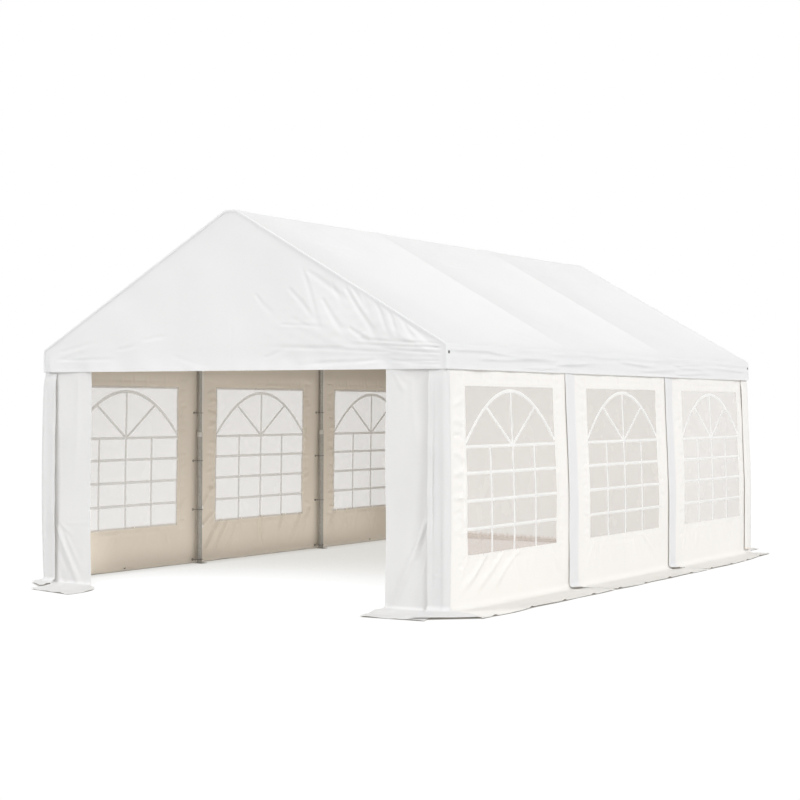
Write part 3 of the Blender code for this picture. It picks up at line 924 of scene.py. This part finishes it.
skirt_rows = joined(
    even(-SKIRT_CUT - SKIRT_HEM, 0.05, 0.018), even(0.05, WINDOW_LOW, 0.0135),
    even(WINDOW_LOW, WINDOW_HIGH, 0.0155), even(WINDOW_HIGH, WALL_TOP, 0.0155),
)
for side in ("right", "left"):
    for bay in (1, 2, 3):
        middle = FRAME_YS[bay - 1] + 1.0
        front = FRAME_YS[bay - 1] + FLAP_REACH if bay > 1 else -WALL_END + CORNER_ROUND
        back = min(FRAME_YS[bay] + LAP_BACK, WALL_END - CORNER_ROUND)
        step = 0.0125 if side == "right" else 0.017
        columns = joined(
            even(front, middle - WINDOW_HALF, step),
            even(middle - WINDOW_HALF, middle + WINDOW_HALF, step),
            even(middle + WINDOW_HALF, back, step),
        )
        sheet = make_sheet(
            f"{side}_wall_sheet_{bay}", columns, skirt_rows, lay_side(side, bay),
            (OUT_WAY[side], 0, 0), (wall_outside, wall_inside),
            hole=(middle - WINDOW_HALF, middle + WINDOW_HALF, WINDOW_LOW, WINDOW_HIGH),
        )
        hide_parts(f"{side}_wall_panel_{bay}")


# Storm flaps: a strip of the cover cloth sewn to the front edge of the second and third
# sheets. It laps back over the joint with the sheet before, and its front edge is free.
FLAP_FOOT = 0.075
FOOT_CORNER = 0.05
flap_slack = slack(43, 7, 0.18, 0.6)


def lay_flap(side, post_y):
    out_way = OUT_WAY[side]

    def lay(along, height):
        sewn = post_y + FLAP_REACH
        loose = np.clip((sewn - along) / (2 * FLAP_REACH), 0, 1)
        foot = np.clip((height + FLAP_FOOT) / FOOT_CORNER, 0, 1)
        rounding = FOOT_CORNER * (1 - np.sqrt(np.clip(1 - (1 - foot) ** 2, 0, 1)))
        along = along + rounding * loose
        out, up, tilt, flat = foot_line(height, FOOT_ROUND)
        top = 1 - 0.85 * smooth_step(height, 1.62, 1.76)
        edge = loose**2 * (0.006 + 0.0025 * flap_slack(along * 0.2, height * 0.6 + post_y)) * top
        body = 0.0025 * np.sin(math.pi * loose) * flap_slack(along, height * 0.6) * top
        lift = (LAP_FACE - WALL_FACE) * smooth_step(loose, 0.0, 0.12) + edge + body
        more, rise = skirt_lay(side, along, flat, tilt)
        curl = 0.008 * loose**2 * smooth_step(0.02 - height, 0, 0.08)
        out = out + lift * np.cos(tilt)
        up = up + lift * np.sin(tilt) + rise + (CLOTH + 0.002) * np.sin(tilt) + curl
        x = out_way * (WALL_FACE + out + lean(side, height, along))
        return x, along - pull(side, along), np.maximum(up, GROUNDED)

    return lay


for side in ("right", "left"):
    for bay in (2, 3):
        post_y = FRAME_YS[bay - 1]
        flap = make_sheet(
            f"{side}_storm_flap_{bay}", even(post_y - FLAP_REACH, post_y + FLAP_REACH, 0.011),
            joined(even(-FLAP_FOOT, 0.06, 0.009), even(0.06, WALL_TOP, 0.017)),
            lay_flap(side, post_y), (OUT_WAY[side], 0, 0), (cover_outside, cover_inside),
        )
        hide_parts(f"{side}_wall_panel_{bay}")


# The windows: clear PVC film, welded in behind the cloth. It is slightly milky, holds
# faint ripples, and carries white bars in the shape of an arched lattice window.
FILM = 0.0007
FILM_LAP = 0.018
MILKY = (0.875, 0.862, 0.852)
# A painted shade along the foot of one window's film: a sandy-brown band that stands for the shaded
# floor and wall foot seen through it, with a ragged slanting top edge.
FOOT_SHADE_TINT = (0.66, 0.585, 0.54)
FOOT_SHADE_LOW, FOOT_SHADE_HIGH = 0.318, 0.345
FOOT_SHADE_SLANT = 0.093
FOOT_SHADE_RAGGED = 0.06


def clear_film(name, shaded_foot=False, haze=0.38, milk=MILKY):
    """Milky clear PVC. haze is the share that the haze hides. The flag after the name paints a
    sandy-brown band along the film's foot: a painted shade for the shaded inside seen through it."""
    film, nodes, links, shader = new_material(
        name, {"Base Color": (*milk, 1), "Alpha": haze, "IOR": 1.45},
    )
    place = add_node(nodes, "TexCoord")
    cloud = add_node(nodes, "TexNoise", {"Scale": 5.0, "Detail": 3.0})
    gloss = add_node(nodes, "MapRange", {"To Min": 0.14, "To Max": 0.36})
    ripple = add_node(nodes, "Bump", {"Strength": 0.20, "Distance": 0.006})
    connect(
        links,
        (place, "UV", cloud, "Vector"),
        (cloud, "Fac", gloss, "Value"),
        (gloss, "Result", shader, "Roughness"),
        (cloud, "Fac", ripple, "Height"),
        (ripple, "Normal", shader, "Normal"),
    )
    # Painted shade: the film's colour turns sandy brown along its foot.
    if shaded_foot:
        ragged_noise = add_node(nodes, "TexNoise", {"Scale": 1.0, "Detail": 5.0})
        runs = add_node(nodes, "Mapping", {"Scale": (1, 26, 6)})
        foot = add_node(nodes, "SeparateXYZ")
        slope = add_node(nodes, "Math", {1: FOOT_SHADE_SLANT}, operation="MULTIPLY_ADD")
        uneven = add_node(nodes, "Math", {1: FOOT_SHADE_RAGGED}, operation="MULTIPLY_ADD")
        fade = add_node(nodes, "MapRange", {"From Min": FOOT_SHADE_HIGH, "From Max": FOOT_SHADE_LOW})
        foot_shade = add_node(nodes, "Mix", {"A": (*MILKY, 1), "B": (*FOOT_SHADE_TINT, 1)}, data_type="RGBA")
        connect(
            links,
            (place, "Object", runs, "Vector"),
            (runs, "Vector", ragged_noise, "Vector"),
            (place, "Object", foot, "Vector"),
            (foot, "Y", slope, 0),
            (foot, "Z", slope, 2),
            (ragged_noise, "Fac", uneven, 0),
            (slope, "Value", uneven, 2),
            (uneven, "Value", fade, "Value"),
            (fade, "Result", foot_shade, "Factor"),
            (foot_shade, "Result", shader, "Base Color"),
        )
    return film


window_film = clear_film("clear_window_film")
shaded_foot_film = clear_film("shaded_foot_window_film", shaded_foot=True)
hazed_film = clear_film("hazed_window_film", haze=0.52, milk=(0.90, 0.888, 0.878))
bar_white = coated_cloth("window_bar_white", (0.88, 0.875, 0.86), 0.50, through=0.10, weave=0.0)

BAR_WIDTH = 0.024
ARCH_WIDTH = 0.028
BAR_THICK = 0.0020
ARCH_FOOT, ARCH_RISE, ARCH_HALF = 1.177, 0.413, 0.73
SPRING_Z = 1.178
BAR_ROWS = (SPRING_Z, 0.985, 0.783, 0.578)
BAR_COLUMNS = (-0.35, 0.0, 0.35)
SPOKE_TOP = (0.39, 1.472)


def arch_height(x):
    return ARCH_FOOT + ARCH_RISE * (1 - (x / ARCH_HALF) ** 2)


def bar_paths():
    """Each bar as the points of its middle line, from the window's middle, and its rank:
    bars that cross differ a hair in thickness."""
    edge = WINDOW_HALF
    arch_x = np.linspace(-edge, edge, 61)
    yield 0, np.stack([arch_x, arch_height(arch_x)], axis=1)
    for z in BAR_ROWS:
        yield 1, np.stack([np.linspace(-edge, edge, 41), np.full(41, z)], axis=1)
    for x in BAR_COLUMNS:
        yield 2, np.stack([np.full(31, x), np.linspace(WINDOW_LOW, SPRING_Z, 31)], axis=1)
    yield 3, np.stack([np.zeros(13), np.linspace(SPRING_Z, arch_height(0), 13)], axis=1)
    for x in (-SPOKE_TOP[0], SPOKE_TOP[0]):
        yield 4, np.linspace((0.0, SPRING_Z), (x, SPOKE_TOP[1]), 15)


def make_bars(name, middle, lay, out_way):
    """The lattice as one mesh of flat strips with softened edges, laid on the film."""
    verts, faces = [], []
    for rank, path in bar_paths():
        run = np.gradient(path, axis=0)
        run /= np.linalg.norm(run, axis=1, keepdims=True)
        aside = np.stack([-run[:, 1], run[:, 0]], axis=1)
        thick = BAR_THICK / 2 + rank * 0.00012
        width = BAR_WIDTH if rank else ARCH_WIDTH
        ring = []
        for across, depth in ((-0.5, 0.3), (-0.42, 1), (0.42, 1), (0.5, 0.3),
                              (0.5, -0.3), (0.42, -1), (-0.42, -1), (-0.5, -0.3)):
            points = path + aside * across * width
            x, y, z = lay(points[:, 0] + middle, points[:, 1])
            ring.append(np.stack([x + out_way * (thick * depth - CLOTH - FILM), y, z], axis=1))
        rings = np.stack(ring, axis=1)
        start = len(verts)
        verts += rings.reshape(-1, 3).tolist()
        count = len(path)
        for step in range(count - 1):
            for corner in range(8):
                a, b = start + step * 8 + corner, start + step * 8 + (corner + 1) % 8
                faces.append((a, b, b + 8, a + 8))
        faces.append(tuple(start + corner for corner in range(8)))
        faces.append(tuple(start + (count - 1) * 8 + corner for corner in reversed(range(8))))
    shape = bpy.data.meshes.new(name)
    shape.from_pydata(verts, [], faces)
    tidy = bmesh.new()
    tidy.from_mesh(shape)
    bmesh.ops.recalc_face_normals(tidy, faces=tidy.faces)
    tidy.to_mesh(shape)
    tidy.free()
    shape.uv_layers.new(name="flat")
    shape.materials.append(bar_white)
    bars = bpy.data.objects.new(name, shape)
    bpy.context.scene.collection.objects.link(bars)
    select_only(bars)
    bpy.ops.object.shade_smooth_by_angle(angle=math.radians(40))
    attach(bars, "root")
    return bars


for side in ("right", "left"):
    out_way = OUT_WAY[side]
    for bay in (1, 2, 3):
        middle = FRAME_YS[bay - 1] + 1.0
        film = make_sheet(
            f"{side}_window_film_{bay}",
            even(middle - WINDOW_HALF - FILM_LAP, middle + WINDOW_HALF + FILM_LAP, 0.030),
            even(WINDOW_LOW - FILM_LAP, WINDOW_HIGH + FILM_LAP, 0.030),
            lay_side(side, bay, raised=-CLOTH - 0.0002), (out_way, 0, 0),
            ({1: shaded_foot_film, 3: hazed_film}.get(bay * out_way, window_film),),
            thickness=FILM,
        )
        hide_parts(f"{side}_window_{bay}")
        bars = make_bars(f"{side}_window_bars_{bay}", middle, lay_side(side, bay), out_way)


# The front panels: what is left of the front wall beside the doorway. Each hangs behind
# the corner flap, from the front beam to a skirt that lies forward over the ground.
DOOR_HALF = 1.425
PANEL_EDGE = 1.905
FRONT_CUT = 0.50
FRONT_ROUND = 0.022
FRONT_FOLDS = {
    "right": [
        ((1.484, 1.725), (1.621, 1.552), 0.007, 0.022),
        ((1.518, 1.735), (1.637, 1.638), 0.005, 0.018),
        ((1.800, 0.690), (1.440, -0.090), 0.025, 0.028),
        ((1.800, 0.420), (1.660, 0.020), 0.007, 0.022),
        ((1.640, 1.700), (1.700, 1.050), 0.004, 0.030),
    ],
    "left": [
        ((-1.783, 0.040), (-1.440, -0.300), 0.008, 0.024),
        ((-1.810, 0.500), (-1.500, -0.100), 0.018, 0.026),
        ((-1.800, 0.340), (-1.640, 0.030), -0.008, 0.022),
        ((-1.785, 0.519), (-1.600, 0.380), 0.005, 0.020),
        ((-1.704, 0.496), (-1.316, 0.511), 0.003, 0.012),
        ((-1.560, 1.720), (-1.600, 0.800), 0.005, 0.030),
        ((-1.700, 0.420), (-1.500, 0.060), 0.006, 0.026),
    ],
}
FRONT_SKIRT = {
    "right": ((1.425, 1.560, 0.560), (1.930, 2.095, 0.52)),
    "left": ((-1.930, -1.640, 0.50), (-1.425, -1.085, 0.650)),
}
FRONT_SPREAD = {"right": 1.0, "left": 3.2}
front_slack = slack(61, 9, 0.22, 0.8)
# Painted shade: the front panels' cloth is greyer than the cover's, standing for the shade they
# hang in below the gable's hanging edge.
panel_painted_shade = coated_cloth("front_panel_outside", (0.862, 0.864, 0.868), 0.62)


def plain_skirt(waves, across, height, flat, tilt, cut):
    """How high an end wall's skirt stands: its ripples, on what lies under it."""
    ripple = 0.006 * np.clip(0.5 + waves(across * 2, height * 2), 0, 2)
    ripple = ripple * smooth_step(flat, 0, 0.1)
    return ripple * (1 - 0.6 * flat / cut) + CLOTH * np.sin(tilt) + 0.002 * (tilt > LYING_TILT)


def lay_front(side):
    (near, near_tip, near_reach), (far, far_tip, far_reach) = FRONT_SKIRT[side]

    def lay(x, height):
        part = (x - near) / (far - near)
        out, up, tilt, flat = foot_line(height, FRONT_ROUND)
        under = smooth_step(np.abs(x), 1.74, 1.81)
        lift = creases(x, height, FRONT_FOLDS[side]) + 0.006 * front_slack(x, height * 0.6)
        lift = lift * (1 - under) * (1 - 0.7 * smooth_step(height, 1.60, 1.78))
        lift = np.where(tilt < LYING_TILT, lift, 0)
        share = flat / FRONT_CUT
        reach = near_reach + part * (far_reach - near_reach)
        shift = (near_tip - near) + part * ((far_tip - far) - (near_tip - near))
        rise = plain_skirt(front_slack, x, height, flat, tilt, FRONT_CUT)
        curl = 0.006 * share**3 * np.clip(np.sin(part * 9.0 + 1.0), 0, 1)
        slip = shift * np.sin(tilt) * (1 - (1 - np.clip(share, 0, 1)) ** FRONT_SPREAD[side])
        out = out - flat + flat * (reach - FRONT_ROUND) / FRONT_CUT + lift * np.cos(tilt)
        up = np.maximum(up + rise + curl + lift * np.sin(tilt), GROUNDED)
        return x + slip, -(WALL_END + out), up

    return lay


for side in ("right", "left"):
    lo, hi = sorted((OUT_WAY[side] * DOOR_HALF, OUT_WAY[side] * PANEL_EDGE))
    panel = make_sheet(
        f"front_{side}_sheet", even(lo, hi, 0.0125),
        joined(even(-FRONT_CUT, 0.05, 0.0135), even(0.05, WALL_TOP, 0.0135)),
        lay_front(side), (0, -1, 0), (panel_painted_shade, cover_inside),
    )
    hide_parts(f"front_{side}_panel")


# Corner flaps: the same strip on the first sheets, carried round the front corners so that
# it covers the outer edge of the front panel. Each fans out at its foot over both skirts,
# and the left one stands a little off its post.
CORNER_SEAM = -2.985
CORNER_SKIRT = 0.30
CORNER_TUCK = 0.0058
corner_end = -LAP_END + CORNER_ROUND - CORNER_ROUND * math.pi / 2
CORNER_BELLY = {"right": 0.012, "left": 0.030}
LEFT_TIPS = ((-1.960, -3.150), (-1.655, -3.370))
CORNER_CREASES = {
    "right": [
        ((-3.02, 0.216), (-2.90, 0.190), 0.0045, 0.010),
        ((-3.12, 0.260), (-3.00, 0.235), 0.0040, 0.010),
        ((-3.00, 0.415), (-3.13, 0.235), 0.0040, 0.014),
        ((-3.05, 1.700), (-3.06, 0.700), 0.0030, 0.016),
        ((-3.122, 1.800), (-3.118, 0.300), -0.0055, 0.006),
        ((-3.118, 0.100), (-3.122, 1.500), -0.0055, 0.006),
        ((-2.96, 1.500), (-3.05, 1.460), 0.0025, 0.012),
    ],
    "left": [
        ((-3.03, 1.600), (-3.06, 0.600), 0.0045, 0.020),
        ((-3.13, 1.300), (-3.11, 0.300), 0.0035, 0.016),
        ((-2.98, 0.480), (-3.08, 0.300), 0.0040, 0.016),
    ],
}


def corner_tips(side):
    """Where the two ends of a corner flap's foot lie: on the skirts beside it at the right,
    and at the left where the photo shows them."""
    if side == "left":
        return LEFT_TIPS
    one = np.ones(1)
    side_tip = lay_side(side, 1)(-2.99 * one, (-SKIRT_CUT - 0.02) * one)
    return side_tip, lay_front(side)(1.80 * one, -0.97 * FRONT_CUT * one)


def lay_corner(side):
    out_way = OUT_WAY[side]
    end = corner_end - CORNER_FLAP + CORNER_ROUND
    side_tip, front_tip = corner_tips(side)

    def lay(along, height):
        run, aside, angle = turn_corner(-along, LAP_END - CORNER_ROUND)
        out, up, tilt, flat = foot_line(height, FOOT_ROUND)
        sewn = smooth_step(CORNER_SEAM - along, 0.0, 0.02)
        loose = np.clip((-3.03 - along) / (-3.03 - end), 0, 1)
        top = 1 - 0.85 * smooth_step(height, 1.60, 1.76)
        belly = CORNER_BELLY[side] * np.sin(math.pi * np.clip(height / 1.9, 0, 1)) ** 0.6
        belly = belly * smooth_step(-2.93 - along, 0, 0.09) * (0.25 + 0.75 * np.cos(angle))
        edge = loose**1.5 * (0.012 + 0.004 * flap_slack(along * 0.4, height + 4)) * top
        folds = creases(along, height, CORNER_CREASES[side]) * smooth_step(loose + 0.3, 0, 0.4)
        lift = (LAP_FACE - WALL_FACE) * sewn + belly * top + edge + folds * top
        lift = np.where(tilt < LYING_TILT, lift, LAP_FACE - WALL_FACE)
        lift = lift - CORNER_TUCK * smooth_step(height, *TUCK) * np.sin(angle)
        out = np.minimum(out, FOOT_ROUND) + lift * np.cos(tilt)
        out = out + lean(side, height, along) * np.cos(angle)
        x = out_way * (WALL_FACE - aside + out * np.cos(angle))
        y = -run - out * np.sin(angle)
        part = flat / CORNER_SKIRT
        fan = np.clip((CORNER_SEAM - along) / (CORNER_SEAM - end), 0, 1)
        x = x + part * (side_tip[0] + (front_tip[0] - side_tip[0]) * fan - x)
        y = y + part * (side_tip[1] + (front_tip[1] - side_tip[1]) * fan - y)
        rumple = 0.003 * (1 + flap_slack(along * 3, height * 2)) * smooth_step(flat, 0, 0.08)
        up = up + lift * np.sin(tilt) + (CLOTH + 0.005) * np.sin(tilt) + 0.003 * fan * part + rumple
        return x, y, np.maximum(up, GROUNDED)

    return lay


for side in ("right", "left"):
    # The corner flaps take the same greyer cloth, its painted shade included.
    flap = make_sheet(
        f"{side}_corner_flap",
        joined(
            even(corner_end - CORNER_FLAP + CORNER_ROUND, corner_end, 0.010),
            even(corner_end, -LAP_END + CORNER_ROUND, 0.006),
            even(-LAP_END + CORNER_ROUND, CORNER_SEAM, 0.006),
        ),
        joined(
            even(-CORNER_SKIRT - SKIRT_HEM, -0.04, 0.018), even(-0.04, 0.06, 0.008),
            even(0.06, WALL_TOP, 0.015),
        ),
        lay_corner(side), (OUT_WAY[side], -1, 0), (panel_painted_shade, cover_inside),
    )
    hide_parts(f"{side}_wall_panel_1")


# The back wall: one plain width between the posts, lapping round both back corners over
# the side sheets, with the same bend and skirt at its foot.
BACK_WRAP = 0.20
BACK_CUT = 0.43
WRAP_TUCK = 0.0008
back_slack = slack(71, 12, 0.35, 1.2)
BACK_FOLDS = [
    ((-1.80, 0.42), (-1.38, 0.06), 0.007, 0.026),
    ((-1.72, 0.30), (-1.20, 0.05), 0.006, 0.024),
    ((1.78, 0.46), (1.42, 0.08), 0.007, 0.026),
    ((1.70, 0.30), (1.24, 0.05), 0.005, 0.024),
    ((-0.10, 0.36), (-0.24, 0.06), 0.005, 0.022),
    ((0.62, 0.34), (0.70, 0.07), 0.005, 0.022),
    ((-0.70, 1.70), (-0.50, 1.35), 0.005, 0.022),
    ((0.75, 1.70), (0.52, 1.30), 0.005, 0.022),
    ((-1.80, 1.60), (-1.50, 1.42), 0.005, 0.020),
    ((1.80, 1.62), (1.48, 1.40), 0.005, 0.020),
    ((-1.425, 0.35), (-1.425, 1.75), 0.003, 0.008),
    ((1.425, 0.35), (1.425, 1.75), 0.003, 0.008),
]


def lay_back(across, height):
    way = np.where(across < 0, -1.0, 1.0)
    run, aside, angle = turn_corner(np.abs(across), WALL_FACE - CORNER_ROUND)
    out, up, tilt, flat = foot_line(height, FOOT_ROUND)
    wrapped = smooth_step(angle, 0, 1.5)
    loose = np.clip((aside - CORNER_ROUND) / (BACK_WRAP - CORNER_ROUND), 0, 1)
    top = 1 - 0.8 * smooth_step(height, 1.62, 1.78)
    lift = creases(across, height, BACK_FOLDS) + 0.006 * back_slack(across, height)
    lift = lift * (1 - wrapped) * smooth_step(1.93 - np.abs(across), 0.0, 0.12) * top
    lift = np.where(tilt < LYING_TILT, lift, 0) + wrapped * (LAP_FACE - WALL_FACE)
    top = top * (1 - smooth_step(height, *TUCK))
    lift = lift + loose**2 * (0.002 + 0.002 * flap_slack(aside, height + 2)) * top
    belly = 0.020 * np.sin(math.pi * np.clip(1 - loose, 0, 1)) ** 0.7
    lift = lift + wrapped * (lean("right", height) + (0.004 + belly) * top)
    lift = lift - WRAP_TUCK * wrapped * smooth_step(height, *TUCK)
    rise = plain_skirt(back_slack, across, height, flat, tilt, BACK_CUT)
    curl = 0.02 * loose * smooth_step(0.05 - height, 0, 0.06)
    out = out + lift * np.cos(tilt) + 0.008 * np.sin(across * 6) * flat / BACK_CUT
    x = way * (run + out * np.sin(angle))
    up = np.maximum(up + rise + curl + lift * np.sin(tilt), GROUNDED)
    return x, WALL_END - aside + out * np.cos(angle), up


back_straight = WALL_FACE - CORNER_ROUND
back_arc = CORNER_ROUND * math.pi / 2
half_back = joined(
    even(0, back_straight, 0.028), even(back_straight, back_straight + back_arc, 0.006),
    even(back_straight + back_arc, back_straight + back_arc + BACK_WRAP - CORNER_ROUND, 0.017),
)
back_sheet = make_sheet(
    "back_wall_sheet", joined(-half_back[::-1], half_back),
    joined(even(-BACK_CUT, 0.006, 0.02), even(0.006, 0.06, 0.009), even(0.06, WALL_TOP, 0.024)),
    lay_back, (0, 1, 0), (wall_outside, wall_inside),
    keep=lambda a, b: (np.abs(a) < back_straight + 0.002) | (b > 0.006),
)
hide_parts("back_wall")


# Small metal: a sleeve where the two lengths of each post join, eyelets at the foot of the
# left wall and at the corners of the side valances, and the wire ties that hold the walls
# to the inner posts.
TIE_HEIGHTS = (0.035, 0.50, 0.955, 1.40)
TIE_SPREAD = 0.052
POST_X, POST_RADIUS = 1.9081, 0.024
SLEEVE_Z, SLEEVE_LENGTH, SLEEVE_WALL = 1.200, 0.046, 0.0018
VALANCE_EYELET_Y, VALANCE_EYELET_Z = 3.008, 1.862
WIRE = 0.0022


def plain_metal(name, metallic, grain, dark, light, glossy, dull):
    """Bare metal whose colour and gloss drift together with one fine noise."""
    material, nodes, links, shader = new_material(name, {"Metallic": metallic})
    place = add_node(nodes, "TexCoord")
    stain = add_node(nodes, "TexNoise", grain)
    colour = add_node(nodes, "Mix", {"A": (*dark, 1), "B": (*light, 1)}, data_type="RGBA")
    gloss = add_node(nodes, "MapRange", {"To Min": glossy, "To Max": dull})
    connect(
        links,
        (place, "Object", stain, "Vector"),
        (stain, "Fac", colour, "Factor"),
        (stain, "Fac", gloss, "Value"),
        (colour, "Result", shader, "Base Color"),
        (gloss, "Result", shader, "Roughness"),
    )
    return material


tie_steel = plain_metal(
    "tie_steel", 0.6, {"Scale": 120.0}, (0.075, 0.068, 0.060), (0.16, 0.15, 0.135), 0.35, 0.60
)
sleeve_zinc = plain_metal(
    "sleeve_zinc", 0.35, {"Scale": 70.0, "Detail": 4.0}, (0.56, 0.54, 0.50), (0.68, 0.66, 0.62),
    0.30, 0.55,
)


def finish_metal(piece, name, material):
    """Names a modelled metal piece, puts its place in its mesh, smooths it, and gives it
    its finish and its body."""
    bpy.ops.object.transform_apply(location=True, rotation=True, scale=True)
    piece.name = name
    piece.data.name = name
    piece.data.materials.append(material)
    bpy.ops.object.shade_smooth_by_angle(angle=math.radians(40))
    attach(piece, "root")


def add_eyelet(point, facing, radius=0.0085, bead=0.0028):
    turn = Vector(facing).to_track_quat("Z", "Y").to_euler()
    bpy.ops.mesh.primitive_torus_add(
        location=point, rotation=turn, major_segments=20, minor_segments=8,
        major_radius=radius, minor_radius=bead,
    )


def add_wire(start, end):
    run = Vector(end) - Vector(start)
    bpy.ops.mesh.primitive_cylinder_add(
        vertices=10, radius=WIRE, depth=run.length, location=(Vector(start) + Vector(end)) / 2,
        rotation=run.to_track_quat("Z", "Y").to_euler(),
    )


def on_sheet(lay, across, down):
    """The point of the sheet's outer face at that place on the flat cloth."""
    x, y, z = lay(np.array([across]), np.array([down]))
    return float(x[0]), float(y[0]), float(z[0])


for side, out_way in OUT_WAY.items():
    for number, post_y in enumerate(FRAME_YS, start=1):
        bpy.ops.mesh.primitive_cylinder_add(
            vertices=40, radius=POST_RADIUS + 0.0022, depth=SLEEVE_LENGTH,
            location=(out_way * POST_X, post_y, SLEEVE_Z), end_fill_type="NOTHING",
        )
        sleeve = bpy.context.object
        wall = sleeve.modifiers.new("wall", "SOLIDIFY")
        wall.thickness = SLEEVE_WALL
        soft = sleeve.modifiers.new("soft", "BEVEL")
        soft.width = 0.0005
        soft.segments = 2
        bpy.ops.object.modifier_apply(modifier="wall")
        bpy.ops.object.modifier_apply(modifier="soft")
        finish_metal(sleeve, f"{side}_post_sleeve_{number}", sleeve_zinc)

    for bay, post_y in ((1, -1.0), (2, 1.0)):
        lay = lay_side(side, bay)
        for number, height in enumerate(TIE_HEIGHTS, start=1):
            loop_x = out_way * (POST_X - 0.002)
            bpy.ops.mesh.primitive_torus_add(
                location=(loop_x, post_y, height), major_segments=28, minor_segments=8,
                major_radius=POST_RADIUS + WIRE + 0.0008, minor_radius=WIRE,
            )
            tie = bpy.context.object
            bpy.ops.object.mode_set(mode="EDIT")
            for way in (-1, 1):
                shift = float(pull(side, np.array([post_y]))[0])
                x, y, z = on_sheet(lay, post_y + way * TIE_SPREAD + shift, height)
                x -= out_way * (CLOTH + 0.0016)
                add_eyelet((x, y, z), (out_way, 0, 0), bead=0.0022)
                edge = post_y + way * (POST_RADIUS + WIRE)
                add_wire((loop_x, edge, height), (x - out_way * 0.002, y - way * 0.006, z))
            bpy.ops.object.mode_set(mode="OBJECT")
            finish_metal(tie, f"{side}_wall_tie_{bay}_{number}", tie_steel)

    for bay in (1, 3) if side == "left" else ():
        x, y, z = on_sheet(lay_side(side, bay), FRAME_YS[bay - 1] + 1.0, 0.030)
        add_eyelet((x + 0.001, y, z), (1, 0, 0.35))
        finish_metal(bpy.context.object, f"left_foot_eyelet_{bay}", tie_steel)

    for end_name, end_y in (("front", -VALANCE_EYELET_Y), ("back", VALANCE_EYELET_Y)):
        run = ROOF_RUN - (VALANCE_EYELET_Z - VALANCE_Z)
        x, y, z = on_sheet(lay_roof, out_way * run, end_y)
        x -= out_way * CLOTH / 2
        add_eyelet((x, y, z), (out_way, 0, 0), radius=0.0105)
        eyelet = bpy.context.object
        bpy.ops.object.mode_set(mode="EDIT")
        bpy.ops.mesh.primitive_cylinder_add(
            vertices=20, radius=0.009, depth=CLOTH + 0.001, location=(x, y, z),
            rotation=(0, math.pi / 2, 0),
        )
        bpy.ops.object.mode_set(mode="OBJECT")
        finish_metal(eyelet, f"{end_name}_{side}_valance_eyelet", tie_steel)
